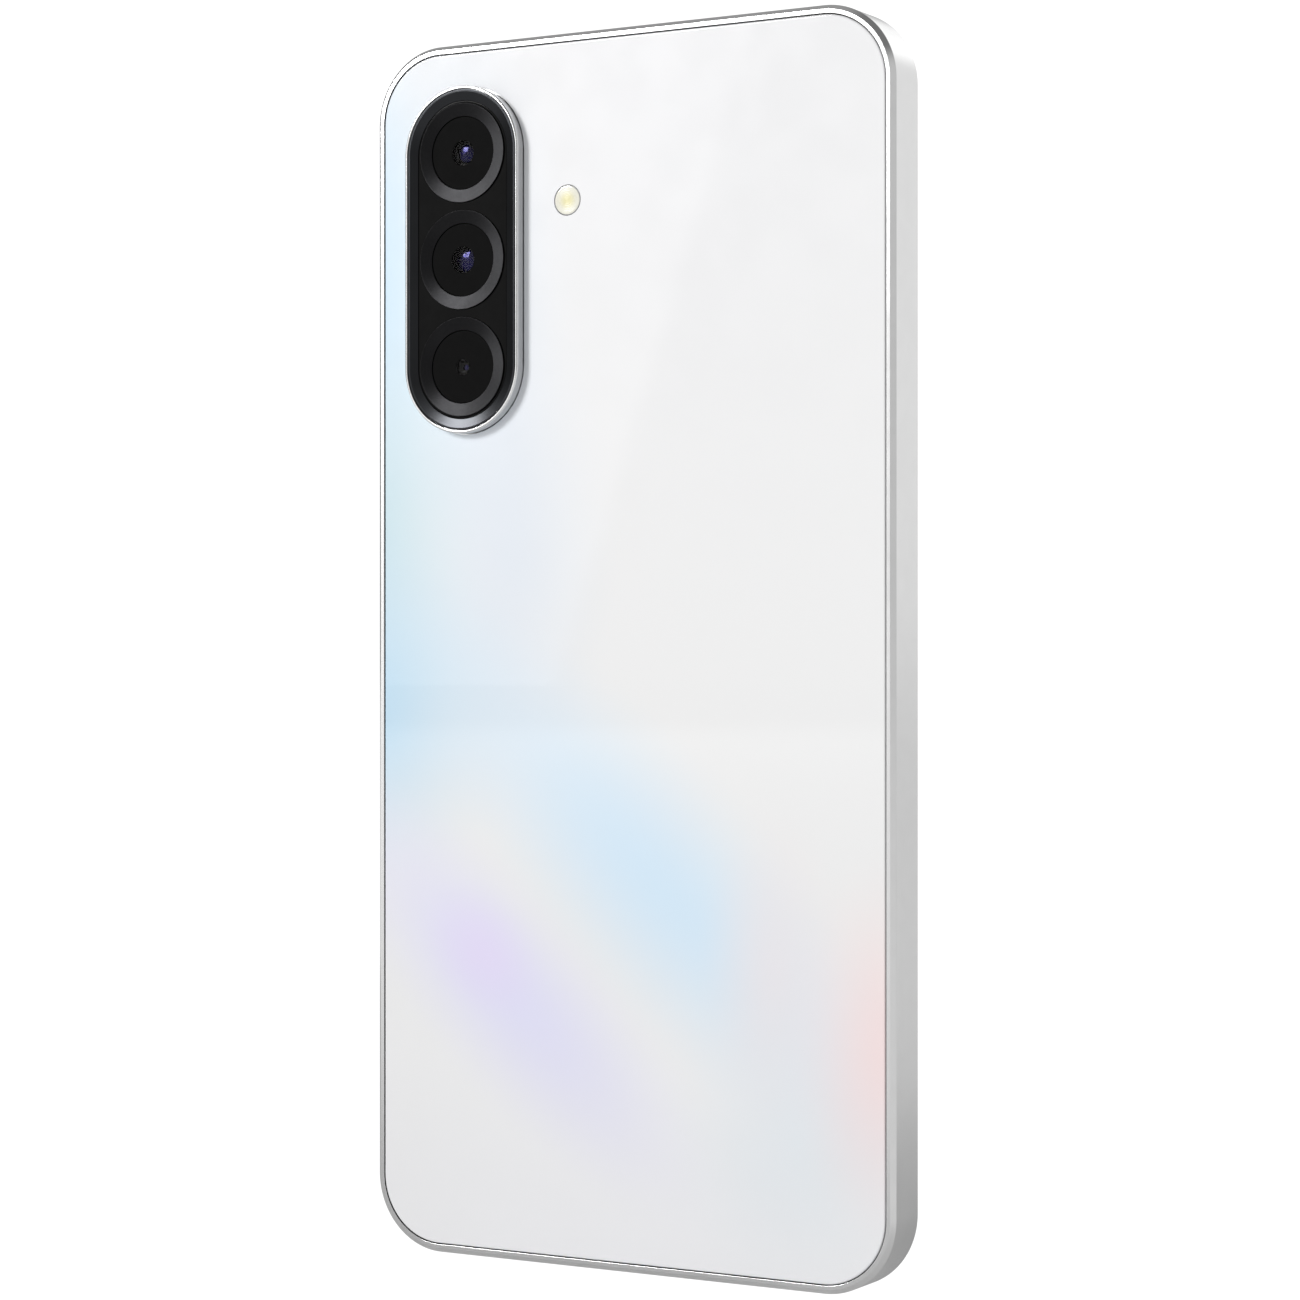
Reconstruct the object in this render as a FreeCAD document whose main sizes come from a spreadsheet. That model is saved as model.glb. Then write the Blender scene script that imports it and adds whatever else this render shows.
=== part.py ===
import FreeCAD, Part
import math
import os
import re

import Sketcher

# A smartphone as an assembly of separate pieces, in millimetres.
# X runs across the phone (keys on +X), Y through its thickness (display on -Y, cameras on +Y)
# and Z along its length. The origin is the middle of the bottom edge, where the socket opens.

DIMENSIONS = {
    # overall body
    "body_width": 78.2, "body_height": 162.9, "body_depth": 7.4, "corner_radius": 10.05,
    "wall": 3.0, "lip": 1.125, "glass_margin": 1.225, "edge_round": 0.5,
    # layers through the thickness, from the display side
    "glass_thickness": 0.6, "panel_thickness": 0.45, "foam_thickness": 0.2,
    "mid_plate_thickness": 0.35, "film_thickness": 0.1, "panel_margin": 2.2, "panel_gap": 0.05,
    "glass_round": 0.25, "tape_inset": 0.075, "layer_gap": 0.1, "mid_plate_gap": 0.02,
    "display_foot_length": 5.0,
    # boards, covers and screws
    "board_thickness": 0.7, "cover_front": 1.7, "cover_back": 2.5, "shield_height": 1.2,
    "shield_sheet": 0.15, "screw_radius": 0.7, "screw_clearance": 0.05, "screw_head_radius": 1.2,
    "screw_head_height": 0.35, "boss_radius": 1.5, "boss_root": 0.1, "screw_depth": 1.25,
    "thread_gap": 0.01, "upper_cover_round": 6.0, "lower_cover_round": 5.0, "board_round": 2.0,
    "tall_board_round": 6.2, "lower_board_round": 1.0, "shield_round": 0.8, "coil_round": 4.0,
    "coil_window_round": 1.5,
    # battery
    "battery_thickness": 4.5, "battery_round": 2.0, "battery_board_front": -1.5,
    # camera island
    "island_x": 24.55, "island_z": 133.71, "island_width": 18.0, "island_height": 46.6,
    "island_proud": 1.5, "island_gap": 0.1, "bezel_rim": 0.365, "bezel_shelf": 1.0,
    "shelf_depth": 1.1, "bezel_flange": 1.0, "flange_thickness": 0.5, "flange_gap": 0.05,
    "bezel_round": 0.1, "bevel_width": 1.5, "bevel_face": 1.2, "bevel_drop": 0.28,
    "bevel_recess": 0.1, "bevel_gap": 0.08, "plate_recess": 0.45, "plate_flange": 0.25,
    "plate_gap": 0.04, "lens_pitch": 14.35, "ring_outer": 6.67, "ring_inner": 4.91,
    "ring_recess": 0.22, "ring_slope": 0.24, "ring_ledge": 0.5, "ring_gap": 0.02,
    "window_thickness": 0.4, "window_recess": 0.6, "window_gap": 0.03, "ring_foot": 0.25,
    # flash
    "flash_x": 8.69, "flash_z": 140.77, "flash_radius": 2.0, "flash_gap": 0.05, "led_size": 2.0,
    "led_thickness": 0.45,
    # keys
    "power_z": 97.5, "power_length": 10.6, "volume_z": 118.0, "volume_length": 21.6,
    "key_width": 2.4, "key_gap": 0.1, "key_proud": 0.5, "key_flange": 0.9,
    "key_flange_thickness": 0.6, "key_flange_gap": 0.4, "key_crown": 0.2, "dome_radius": 1.1,
    "dome_height": 0.3, "dome_gap": 0.35, "dome_spread": 7.5, "key_flex_thickness": 0.35,
    "key_flex_end": 2.0,
    # SIM tray and its ejector
    "sim_x": -20.0, "sim_y": -1.2, "tray_head_width": 17.6, "tray_head_depth": 2.6,
    "tray_head_y": -0.75, "tray_head_thickness": 1.9, "tray_gap": 0.1, "tray_width": 13.4,
    "tray_thickness": 1.3, "tray_length": 23.4, "card_width": 12.4, "card_length": 8.9,
    "card_thickness": 0.75, "card_rest": 0.9, "card_pitch": 9.8, "card_first": 7.2,
    "cage_sheet": 0.12, "cage_gap": 0.16, "cage_bottom": 138.4, "eject_offset": 7.75,
    "eject_hole_radius": 0.45, "rod_radius": 0.4, "rod_clearance": 0.08, "rod_top": 160.4,
    "rod_bottom": 135.95, "lever_z": 135.2, "lever_offset": 3.0, "lever_width": 1.2,
    "lever_thickness": 0.5, "lever_rod_arm": 5.4, "lever_tray_arm": 6.4, "pin_radius": 0.5,
    "pin_clearance": 0.06, "pin_head_radius": 0.9, "pin_head_thickness": 0.15, "pin_gap": 0.1,
    "guide_shift": 0.2, "guide_width": 1.9, "guide_first": 2.0, "guide_pitch": 14.0,
    "guide_height": 1.5, "cage_tongue_lap": 0.2, "cage_tongue_tail": 1.8,
    # USB-C socket
    "shell_width": 8.94, "shell_height": 3.26, "shell_wall": 0.3, "shell_mouth": 0.2,
    "shell_end": 7.2, "shell_back": 0.8, "socket_gap": 0.13, "tongue_width": 6.69,
    "tongue_thickness": 0.7, "tongue_front": 0.9,
    # sound openings
    "slot_first": 14.9, "slot_pitch": 2.6, "slot_length": 1.9, "slot_width": 1.2, "slot_count": 6,
    "mic_hole_radius": 0.45, "mic_depth": 1.0, "earpiece_slit_length": 13.0,
    "earpiece_slit_width": 0.53, "earpiece_slit_depth": 0.6, "duct_x": 7.2, "duct_width": 5.0,
    "duct_height": 1.5, "duct_lap": 0.1, "mesh_thickness": 0.2, "mesh_depth": 2.4,
    "earpiece_back": 0.6, "earpiece_wall": 0.4, "earpiece_round": 0.8, "earpiece_mouth_height": 1.0,
    # front and fixed rear cameras
    "selfie_z": 155.0, "punch_radius": 2.1, "selfie_barrel": 1.9, "selfie_gap": 0.3,
    "selfie_back": 1.2, "camera_round": 0.5, "ultrawide_back": 1.6, "ultrawide_barrel": 2.6,
    "closeup_back": 0.8, "closeup_barrel": 1.9, "barrel_to_window": 0.1, "aperture_depth": 0.5,
    # main camera mechanism
    "housing_wall": 0.6, "housing_mouth": 3.6, "sensor_size": 7.6, "sensor_thickness": 0.5,
    "housing_back": 2.9, "housing_round": 0.8, "carrier_round": 0.5, "outer_carrier": 9.2,
    "outer_carrier_hole": 8.0, "inner_carrier": 7.5,
    "barrel_radius": 3.05, "barrel_clearance": 0.1, "barrel_bore": 1.6, "barrel_bore_depth": 0.8,
    "barrel_front": -0.5, "barrel_back": 3.85, "carrier_front": -0.2, "carrier_back": 2.2,
    # vibration motor
    "motor_x": -27.0, "motor_z": 11.0, "motor_radius": 5.0, "motor_height": 3.0,
    "motor_wall": 0.3, "rotor_radius": 4.3, "rotor_height": 1.6, "rotor_hub": 1.2,
    "rotor_front": -1.3, "shaft_radius": 0.4, "shaft_clearance": 0.05,
    # loudspeaker
    "speaker_wall": 0.5, "magnet_front": -0.2, "coil_radius": 2.8,
    "coil_wall": 0.3, "coil_length": 1.0, "groove_margin": 0.3, "groove_depth": 1.3,
    "diaphragm_y": -1.0, "diaphragm_thickness": 0.15, "earpiece_diaphragm_y": -1.3,
    "speaker_round": 4.6, "speaker_mouth_width": 12.0, "speaker_mouth_shift": 2.0,
    "magnet_round": 1.0, "diaphragm_round": 2.0,
    # flat cables and the antenna cable
    "flex_thickness": 0.15, "connector_height": 0.8, "flex_width": 10.0, "flex_x": -7.0,
    "slot_z": 19.1, "display_flex_width": 16.0, "coax_radius": 0.4, "coax_bend": 2.4,
    "coax_x": -34.9, "coax_y": 0.8, "coax_low": 18.4, "coax_high": 113.8, "coax_end": -29.0,
    "coax_start": -18.5, "flex_low_gap": 0.6, "flex_high_gap": 0.7, "flex_foot": 1.2,
}

# Pieces that are laid out on the plan: centre x, centre z, width, height.
PLAN = {
    "battery": (-0.5, 64.5, 66.0, 88.0),
    "battery_board": (12.0, 110.05, 20.0, 2.9),
    "battery_tongue": (12.0, 113.2, 8.0, 4.6),
    "board_wide": (-8.8, 131.75, 53.6, 38.5),
    "board_tall": (-19.9, 149.9, 31.4, 19.0),
    "processor_shield": (-19.25, 128.4, 19.5, 21.2),
    "power_shield": (1.5, 128.5, 15.0, 19.5),
    "radio_shield": (6.2, 132.0, 20.4, 27.0),
    "upper_cover": (-10.4, 135.3, 49.2, 46.6),
    "lower_cover": (0.0, 11.4, 70.0, 14.4),
    "nfc_coil": (-12.0, 135.5, 37.0, 28.0),
    "nfc_window": (-12.0, 135.5, 27.0, 18.0),
    "lower_board": (-4.1, 11.1, 32.6, 15.4),
    "lower_notch": (0.0, 4.0, 9.4, 7.2),
    "selfie_body": (0.0, 155.0, 6.4, 6.4),
    "earpiece_case": (9.5, 157.2, 11.0, 4.6),
    "earpiece_plate": (9.5, 157.2, 9.2, 2.8),
    "ultrawide_camera": (24.55, 148.06, 8.6, 8.6),
    "main_camera": (24.55, 133.71, 11.0, 11.0),
    "closeup_camera": (24.55, 119.36, 6.6, 6.6),
    "speaker_box": (24.2, 11.4, 21.2, 14.0),
    "speaker_magnet": (24.2, 11.6, 11.0, 11.0),
    "speaker_plate": (24.2, 11.6, 13.0, 11.6),
    "speaker_mesh": (21.4, 3.15, 15.6, 0.2),
    "fingerprint_sensor": (0.0, 33.0, 9.0, 9.0),
    "bottom_microphone": (-12.25, 4.75, 3.5, 2.7),
    "top_microphone": (20.0, 158.3, 3.5, 2.7),
    "processor_chip": (-19.25, 129.5, 13.5, 13.5),
    "memory_chip": (-19.25, 120.4, 11.5, 3.6),
    "power_chip": (0.0, 131.0, 6.0, 6.0),
    "charger_chip": (4.6, 123.5, 3.6, 4.0),
    "radio_chip": (4.0, 134.0, 7.0, 6.0),
    "amplifier_chip": (11.5, 124.5, 5.0, 4.0),
    "battery_connector": (12.0, 114.6, 7.0, 2.4),
    "upper_flex_connector": (-7.0, 114.6, 8.0, 2.2),
    "lower_flex_connector": (-7.0, 14.6, 8.0, 2.2),
}

# Screws hold the two covers down on bosses of the mid plate: x, z.
UPPER_SCREWS = [(-32.0, 118.5), (-15.5, 115.2), (3.0, 115.2), (-32.4, 146.0), (-8.0, 156.0),
                (11.0, 148.0)]
LOWER_SCREWS = [(-18.4, 6.8), (-18.4, 15.8), (9.6, 5.6), (10.0, 16.0)]


FRONT = "-body_depth / 2"
BACK = "body_depth / 2"
PANEL_FRONT = FRONT + " + glass_thickness"
PANEL_BACK = PANEL_FRONT + " + panel_thickness"
DISPLAY_LEDGE = PANEL_BACK + " + panel_gap"
FOAM_BACK = PANEL_BACK + " + foam_thickness"
FLOOR = FOAM_BACK + " + mid_plate_thickness"
BATTERY_BACK = FLOOR + " + battery_thickness"
BACK_GLASS_FRONT = BACK + " - glass_thickness"
BACK_LEDGE = BACK_GLASS_FRONT + " - film_thickness"
BOARD_FRONT = "-board_thickness / 2"
BOARD_BACK = "board_thickness / 2"
CONNECTOR_TOP = BOARD_BACK + " + connector_height"
ISLAND_TOP = BACK + " + island_proud"
SHELF = ISLAND_TOP + " - shelf_depth"
PLATE_TOP = ISLAND_TOP + " - plate_recess"
RING_TOP = ISLAND_TOP + " - ring_recess"
WINDOW_TOP = ISLAND_TOP + " - window_recess"
WINDOW_FRONT = WINDOW_TOP + " - window_thickness"
INSIDE_X = "body_width / 2 - wall"
INSIDE_TOP = "body_height - wall"
MIDDLE_Z = "body_height / 2"
TRAY_SHOULDER = "body_height - tray_head_thickness"
ROD_X = "sim_x + eject_offset"
ROD_CHANNEL = "2 * (rod_radius + rod_clearance)"
LEVER_X = "sim_x + lever_offset"
FLANGE_BACK = INSIDE_X + " - key_flange_gap - key_flange_thickness"
DOME_BASE = FLANGE_BACK + " - dome_gap - dome_height"
LENSES = {"top": "island_z + lens_pitch", "middle": "island_z", "bottom": "island_z - lens_pitch"}

doc = FreeCAD.newDocument("smartphone")
sheet = doc.addObject("Spreadsheet::Sheet", "Sizes")
pieces = []


def fill_sheet():
    """Put every driving dimension in the sheet, one row each, under its own alias."""
    rows = dict(DIMENSIONS)
    for name, sizes in PLAN.items():
        rows.update(zip((name + "_x", name + "_z", name + "_width", name + "_height"), sizes))
    for row, (alias, value) in enumerate(rows.items(), start=1):
        sheet.set("A%d" % row, alias.replace("_", " "))
        sheet.set("B%d" % row, str(value))
        sheet.setAlias("B%d" % row, alias)
    doc.recompute()
    return frozenset(rows)


ALIASES = fill_sheet()


def bound(expression):
    """The expression with each alias written as a cell of the sheet."""
    def cell(match):
        return "Sizes." + match.group() if match.group() in ALIASES else match.group()
    return re.sub(r"[a-z_]+", cell, expression)


def value(expression):
    """The number that an expression of aliases works out to."""
    return float(sheet.evalExpression(expression))


def vector(x, y, z=0.0):
    return FreeCAD.Vector(x, y, z)


# ---- sketches ------------------------------------------------------------------------------

PLANES = {"XZ": -1, "XY": 1, "YZ": 1}    # which way each origin plane's normal points


def sketch_on(body, name, plane, level):
    """A sketch on one of the body's own origin planes, moved along that plane's axis."""
    origin_plane = next(f for f in body.Origin.OriginFeatures if f.Role == plane + "_Plane")
    sketch = body.newObject("Sketcher::SketchObject", name)
    sketch.AttachmentSupport = [(origin_plane, "")]
    sketch.MapMode = "FlatFace"
    sign = "-" if PLANES[plane] < 0 else ""
    sketch.setExpression("AttachmentOffset.Base.z", bound("%s(%s)" % (sign, level)))
    return sketch


def hold(sketch, kind, references, expression):
    """Add a dimension to a sketch and bind it to the sheet."""
    number = sketch.addConstraint(Sketcher.Constraint(kind, *references, value(expression)))
    sketch.setExpression("Constraints[%d]" % number, bound(expression))


def rounded(sketch, cx, cy, width, height, radius):
    """A rectangle with four equal round corners."""
    x, y, w, h, r = (value(e) for e in (cx, cy, width, height, radius))
    left, right, low, high = x - w / 2, x + w / 2, y - h / 2, y + h / 2
    quarter = math.pi / 2

    def arc(ax, ay, start):
        circle = Part.Circle(vector(ax, ay), vector(0, 0, 1), r)
        return Part.ArcOfCircle(circle, start, start + quarter)

    edges = [
        Part.LineSegment(vector(left + r, low), vector(right - r, low)),
        arc(right - r, low + r, -quarter),
        Part.LineSegment(vector(right, low + r), vector(right, high - r)),
        arc(right - r, high - r, 0.0),
        Part.LineSegment(vector(right - r, high), vector(left + r, high)),
        arc(left + r, high - r, quarter),
        Part.LineSegment(vector(left, high - r), vector(left, low + r)),
        arc(left + r, low + r, 2 * quarter),
    ]
    first = sketch.addGeometry(edges, False)[0]
    joints = [Sketcher.Constraint("Tangent", first + k, 2, first + (k + 1) % 8, 1) for k in range(8)]
    flat = [Sketcher.Constraint("Horizontal", first), Sketcher.Constraint("Horizontal", first + 4),
            Sketcher.Constraint("Vertical", first + 2), Sketcher.Constraint("Vertical", first + 6)]
    equal = [Sketcher.Constraint("Equal", first + k, first + k + 2) for k in (1, 3, 5)]
    sketch.addConstraint(joints + flat + equal)
    hold(sketch, "Radius", (first + 1,), radius)
    hold(sketch, "DistanceX", (first + 6, 1, first + 2, 1), width)
    hold(sketch, "DistanceY", (first, 1, first + 4, 1), height)
    hold(sketch, "DistanceX", (-1, 1, first + 2, 1), "(%s) + (%s) / 2" % (cx, width))
    hold(sketch, "DistanceY", (-1, 1, first + 4, 1), "(%s) + (%s) / 2" % (cy, height))


def square(sketch, cx, cy, width, height):
    """A rectangle with sharp corners."""
    x, y, w, h = (value(e) for e in (cx, cy, width, height))
    corners = [vector(x - w / 2, y - h / 2), vector(x + w / 2, y - h / 2),
               vector(x + w / 2, y + h / 2), vector(x - w / 2, y + h / 2)]
    edges = [Part.LineSegment(corners[k], corners[(k + 1) % 4]) for k in range(4)]
    first = sketch.addGeometry(edges, False)[0]
    ends = [Sketcher.Constraint("Coincident", first + k, 2, first + (k + 1) % 4, 1) for k in range(4)]
    flat = [Sketcher.Constraint("Horizontal", first), Sketcher.Constraint("Horizontal", first + 2),
            Sketcher.Constraint("Vertical", first + 1), Sketcher.Constraint("Vertical", first + 3)]
    sketch.addConstraint(ends + flat)
    hold(sketch, "DistanceX", (first, 1, first, 2), width)
    hold(sketch, "DistanceY", (first + 1, 1, first + 1, 2), height)
    hold(sketch, "DistanceX", (-1, 1, first + 1, 1), "(%s) + (%s) / 2" % (cx, width))
    hold(sketch, "DistanceY", (-1, 1, first + 1, 2), "(%s) + (%s) / 2" % (cy, height))


def pill(sketch, cx, cy, width, height):
    """Two half circles joined by straight sides, along whichever direction is the longer."""
    x, y, w, h = (value(e) for e in (cx, cy, width, height))
    tall = h > w
    r = min(w, h) / 2
    reach = max(w, h) / 2 - r
    step = vector(0, reach) if tall else vector(reach, 0)
    side = vector(r, 0) if tall else vector(0, -r)
    middle = vector(x, y)
    turn = 0.0 if tall else -math.pi / 2
    up = vector(0, 0, 1)
    edges = [
        Part.LineSegment(middle + side - step, middle + side + step),
        Part.ArcOfCircle(Part.Circle(middle + step, up, r), turn, turn + math.pi),
        Part.LineSegment(middle - side + step, middle - side - step),
        Part.ArcOfCircle(Part.Circle(middle - step, up, r), turn + math.pi, turn + 2 * math.pi),
    ]
    first = sketch.addGeometry(edges, False)[0]
    joints = [Sketcher.Constraint("Tangent", first + k, 2, first + (k + 1) % 4, 1) for k in range(4)]
    along = "Vertical" if tall else "Horizontal"
    sketch.addConstraint(joints + [Sketcher.Constraint(along, first)])
    short, long_way = (width, height) if tall else (height, width)
    straight = "(%s) - (%s)" % (long_way, short)
    hold(sketch, "Radius", (first + 1,), "(%s) / 2" % short)
    hold(sketch, "DistanceY" if tall else "DistanceX", (first, 1, first, 2), straight)
    far_x = "(%s)" % cx if tall else "(%s) + (%s) / 2" % (cx, straight)
    far_y = "(%s) + (%s) / 2" % (cy, straight) if tall else "(%s)" % cy
    hold(sketch, "DistanceX", (-1, 1, first + 1, 3), far_x)
    hold(sketch, "DistanceY", (-1, 1, first + 1, 3), far_y)


def disc(sketch, cx, cy, radius):
    """A circle."""
    centre = vector(value(cx), value(cy))
    circle = sketch.addGeometry(Part.Circle(centre, vector(0, 0, 1), value(radius)), False)
    hold(sketch, "Radius", (circle,), radius)
    hold(sketch, "DistanceX", (-1, 1, circle, 3), cx)
    hold(sketch, "DistanceY", (-1, 1, circle, 3), cy)


# ---- bodies and features -------------------------------------------------------------------

def new_body(name):
    """An empty body that will be one piece of the phone, or one group of like pieces."""
    body = doc.addObject("PartDesign::Body", name)
    body.Label = name
    body.AllowCompound = True
    pieces.append(body)
    return body


def pad(body, name, plane, low, high, *outlines):
    """Add material between two levels of a plane, inside the outlines."""
    sketch = sketch_on(body, name + "_sketch", plane, low)
    for draw, *sizes in outlines:
        draw(sketch, *sizes)
    feature = body.newObject("PartDesign::Pad", name)
    feature.Profile = sketch
    feature.AllowMultiFace = True
    feature.Reversed = PLANES[plane] < 0
    feature.setExpression("Length", bound("(%s) - (%s)" % (high, low)))
    doc.recompute()
    return feature


def pocket(body, name, plane, low, high, *outlines):
    """Take material away between two levels of a plane, inside the outlines."""
    before = body.Shape.Volume
    sketch = sketch_on(body, name + "_sketch", plane, low)
    for draw, *sizes in outlines:
        draw(sketch, *sizes)
    feature = body.newObject("PartDesign::Pocket", name)
    feature.Profile = sketch
    feature.AllowMultiFace = True
    feature.Reversed = PLANES[plane] > 0
    feature.setExpression("Length", bound("(%s) - (%s)" % (high, low)))
    doc.recompute()
    if body.Shape.Volume > before - 1e-6:
        raise RuntimeError("%s removes nothing from %s" % (name, body.Label))
    return feature


def dress(body, kind, name, axis, level, size, wider_than=0.0):
    """Fillet or chamfer the rims of the flat faces that lie at one level of an axis."""
    feature = body.Tip
    number = "xyz".index(axis)
    place = value(level)
    faces = []
    for count, face in enumerate(feature.Shape.Faces, start=1):
        box = face.BoundBox
        low = (box.XMin, box.YMin, box.ZMin)[number]
        high = (box.XMax, box.YMax, box.ZMax)[number]
        if abs(low - place) < 1e-4 and abs(high - place) < 1e-4 and face.Area > wider_than:
            faces.append("Face%d" % count)
    if not faces:
        raise RuntimeError("%s finds no face on %s" % (name, body.Label))
    rim = body.newObject("PartDesign::" + kind, name)
    rim.Base = (feature, faces)
    rim.setExpression("Radius" if kind == "Fillet" else "Size", bound(size))
    doc.recompute()
    return rim


def plan(name):
    """The four sizes of a piece on the layout, as expressions."""
    return tuple(name + part for part in ("_x", "_z", "_width", "_height"))


def block(name, low, high):
    """A plain rectangular piece of the layout, between two depths."""
    box = doc.addObject("Part::Box", name)
    box.Label = name
    box.setExpression("Length", bound(name + "_width"))
    box.setExpression("Width", bound("(%s) - (%s)" % (high, low)))
    box.setExpression("Height", bound(name + "_height"))
    box.setExpression("Placement.Base.x", bound("%s_x - %s_width / 2" % (name, name)))
    box.setExpression("Placement.Base.y", bound(low))
    box.setExpression("Placement.Base.z", bound("%s_z - %s_height / 2" % (name, name)))
    return box


def rod(name, x, y, z, radius, length, axis):
    """A round bar that starts at a point and runs along a row axis."""
    bar = doc.addObject("Part::Cylinder", name)
    bar.Label = name
    bar.setExpression("Radius", bound(radius))
    bar.setExpression("Height", bound(length))
    bar.Placement.Rotation = FreeCAD.Rotation(vector(0, 0, 1), axis)
    for key, place in zip("xyz", (x, y, z)):
        bar.setExpression("Placement.Base." + key, bound(place))
    return bar


def group(name, members):
    """Several separate solids in one piece."""
    compound = doc.addObject("Part::Compound", name)
    compound.Label = name
    compound.Links = members
    pieces.append(compound)
    return compound


def whole_face(margin):
    """The phone's outline, moved in by a margin."""
    return (rounded, "0", MIDDLE_Z, "body_width - 2 * (%s)" % margin,
            "body_height - 2 * (%s)" % margin, "corner_radius - (%s)" % margin)


def island(grow):
    """The camera island's outline, moved out by a distance."""
    return (pill, "island_x", "island_z", "island_width + 2 * (%s)" % grow,
            "island_height + 2 * (%s)" % grow)


# ---- frame and display ---------------------------------------------------------------------

def make_side_frame():
    """The metal band: both glass seats, key slots, tray slot, socket and sound openings."""
    body = new_body("side_frame")
    pad(body, "band", "XZ", FRONT, BACK, whole_face("0"))
    dress(body, "Fillet", "front_edge", "y", FRONT, "edge_round")
    dress(body, "Fillet", "back_edge", "y", BACK, "edge_round")
    pocket(body, "cavity", "XZ", FRONT, BACK, whole_face("wall"))
    pocket(body, "display_seat", "XZ", FRONT, DISPLAY_LEDGE, whole_face("lip"))
    pocket(body, "back_seat", "XZ", BACK_LEDGE, BACK, whole_face("lip"))
    for key in ("power", "volume"):
        pocket(body, key + "_slot", "YZ", INSIDE_X, "body_width / 2",
               (pill, "0", key + "_z", "key_width + 2 * key_gap", key + "_length + 2 * key_gap"))
    pocket(body, "tray_mouth", "XY", TRAY_SHOULDER + " - tray_gap / 2", "body_height",
           (pill, "sim_x", "tray_head_y", "tray_head_width + 2 * tray_gap",
            "tray_head_depth + 2 * tray_gap"))
    pocket(body, "tray_slot", "XY", INSIDE_TOP, TRAY_SHOULDER,
           (square, "sim_x", "sim_y", "tray_width + 3 * tray_gap",
            "tray_thickness + 2 * tray_gap"))
    pocket(body, "rod_hole", "XY", INSIDE_TOP, TRAY_SHOULDER,
           (square, ROD_X, "sim_y", ROD_CHANNEL, ROD_CHANNEL))
    pocket(body, "socket_opening", "XY", "0", "wall",
           (pill, "0", "0", "shell_width + 2 * socket_gap", "shell_height + 2 * socket_gap"))
    slots = [(pill, "slot_first + %d * slot_pitch" % k, "0", "slot_length", "slot_width")
             for k in range(round(value("slot_count")))]
    pocket(body, "speaker_slots", "XY", "0", "wall", *slots)
    pocket(body, "bottom_mic_hole", "XY", "0", "wall",
           (disc, "bottom_microphone_x", BOARD_FRONT + " - mic_depth / 2", "mic_hole_radius"))
    pocket(body, "top_mic_hole", "XY", INSIDE_TOP, "body_height",
           (disc, "top_microphone_x", FLOOR + " + mic_depth / 2", "mic_hole_radius"))
    pocket(body, "earpiece_slit", "XZ", FRONT, FRONT + " + earpiece_slit_depth",
           (square, "0", "body_height - lip + earpiece_slit_width / 2 - mesh_thickness / 2",
            "earpiece_slit_length", "earpiece_slit_width + mesh_thickness"))
    pocket(body, "earpiece_duct", "XZ", DISPLAY_LEDGE, FLOOR + " + mic_depth / 2",
           (square, "duct_x", INSIDE_TOP + " + duct_height / 2 - duct_lap", "duct_width",
            "duct_height + 2 * duct_lap"))


def make_display():
    """Front glass, panel, adhesive, foam, fingerprint sensor and the panel's flat cable."""
    glass = new_body("front_glass")
    pad(glass, "sheet", "XZ", FRONT, PANEL_FRONT, whole_face("glass_margin"))
    dress(glass, "Fillet", "soft_edge", "y", FRONT, "glass_round")

    tape = new_body("display_adhesive")
    pad(tape, "sheet", "XZ", PANEL_FRONT, DISPLAY_LEDGE, whole_face("glass_margin + tape_inset"))
    pocket(tape, "middle", "XZ", PANEL_FRONT, DISPLAY_LEDGE,
           whole_face("panel_margin - layer_gap"))

    panel = new_body("oled_panel")
    pad(panel, "sheet", "XZ", PANEL_FRONT, PANEL_BACK, whole_face("panel_margin"))
    pocket(panel, "camera_hole", "XZ", PANEL_FRONT, PANEL_BACK,
           (disc, "0", "selfie_z", "punch_radius"))

    foam = new_body("display_foam")
    pad(foam, "sheet", "XZ", PANEL_BACK, FOAM_BACK, whole_face("wall + layer_gap"))
    pocket(foam, "camera_hole", "XZ", PANEL_BACK, FOAM_BACK,
           (disc, "0", "selfie_z", "punch_radius + selfie_gap"))
    pocket(foam, "sensor_window", "XZ", PANEL_BACK, FOAM_BACK, fingerprint_window())
    pocket(foam, "flex_slot", "XZ", PANEL_BACK, FOAM_BACK, display_flex_slot())

    sensor = block("fingerprint_sensor", PANEL_BACK, FOAM_BACK + " + mid_plate_thickness / 2")
    pieces.append(sensor)

    flex = new_body("display_flex")
    pad(flex, "leg", "XZ", PANEL_BACK, BOARD_FRONT,
        (square, "0", "slot_z", "display_flex_width", "flex_thickness"))
    pad(flex, "foot", "XZ", BOARD_FRONT + " - flex_thickness", BOARD_FRONT,
        (square, "0", "slot_z - display_foot_length / 2", "display_flex_width",
         "display_foot_length"))


def fingerprint_window():
    return (square, "fingerprint_sensor_x", "fingerprint_sensor_z",
            "fingerprint_sensor_width + 2 * selfie_gap", "fingerprint_sensor_height + 2 * selfie_gap")


def display_flex_slot():
    return (square, "0", "slot_z", "display_flex_width + 2 * selfie_gap",
            "flex_thickness + 2 * selfie_gap")


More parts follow.
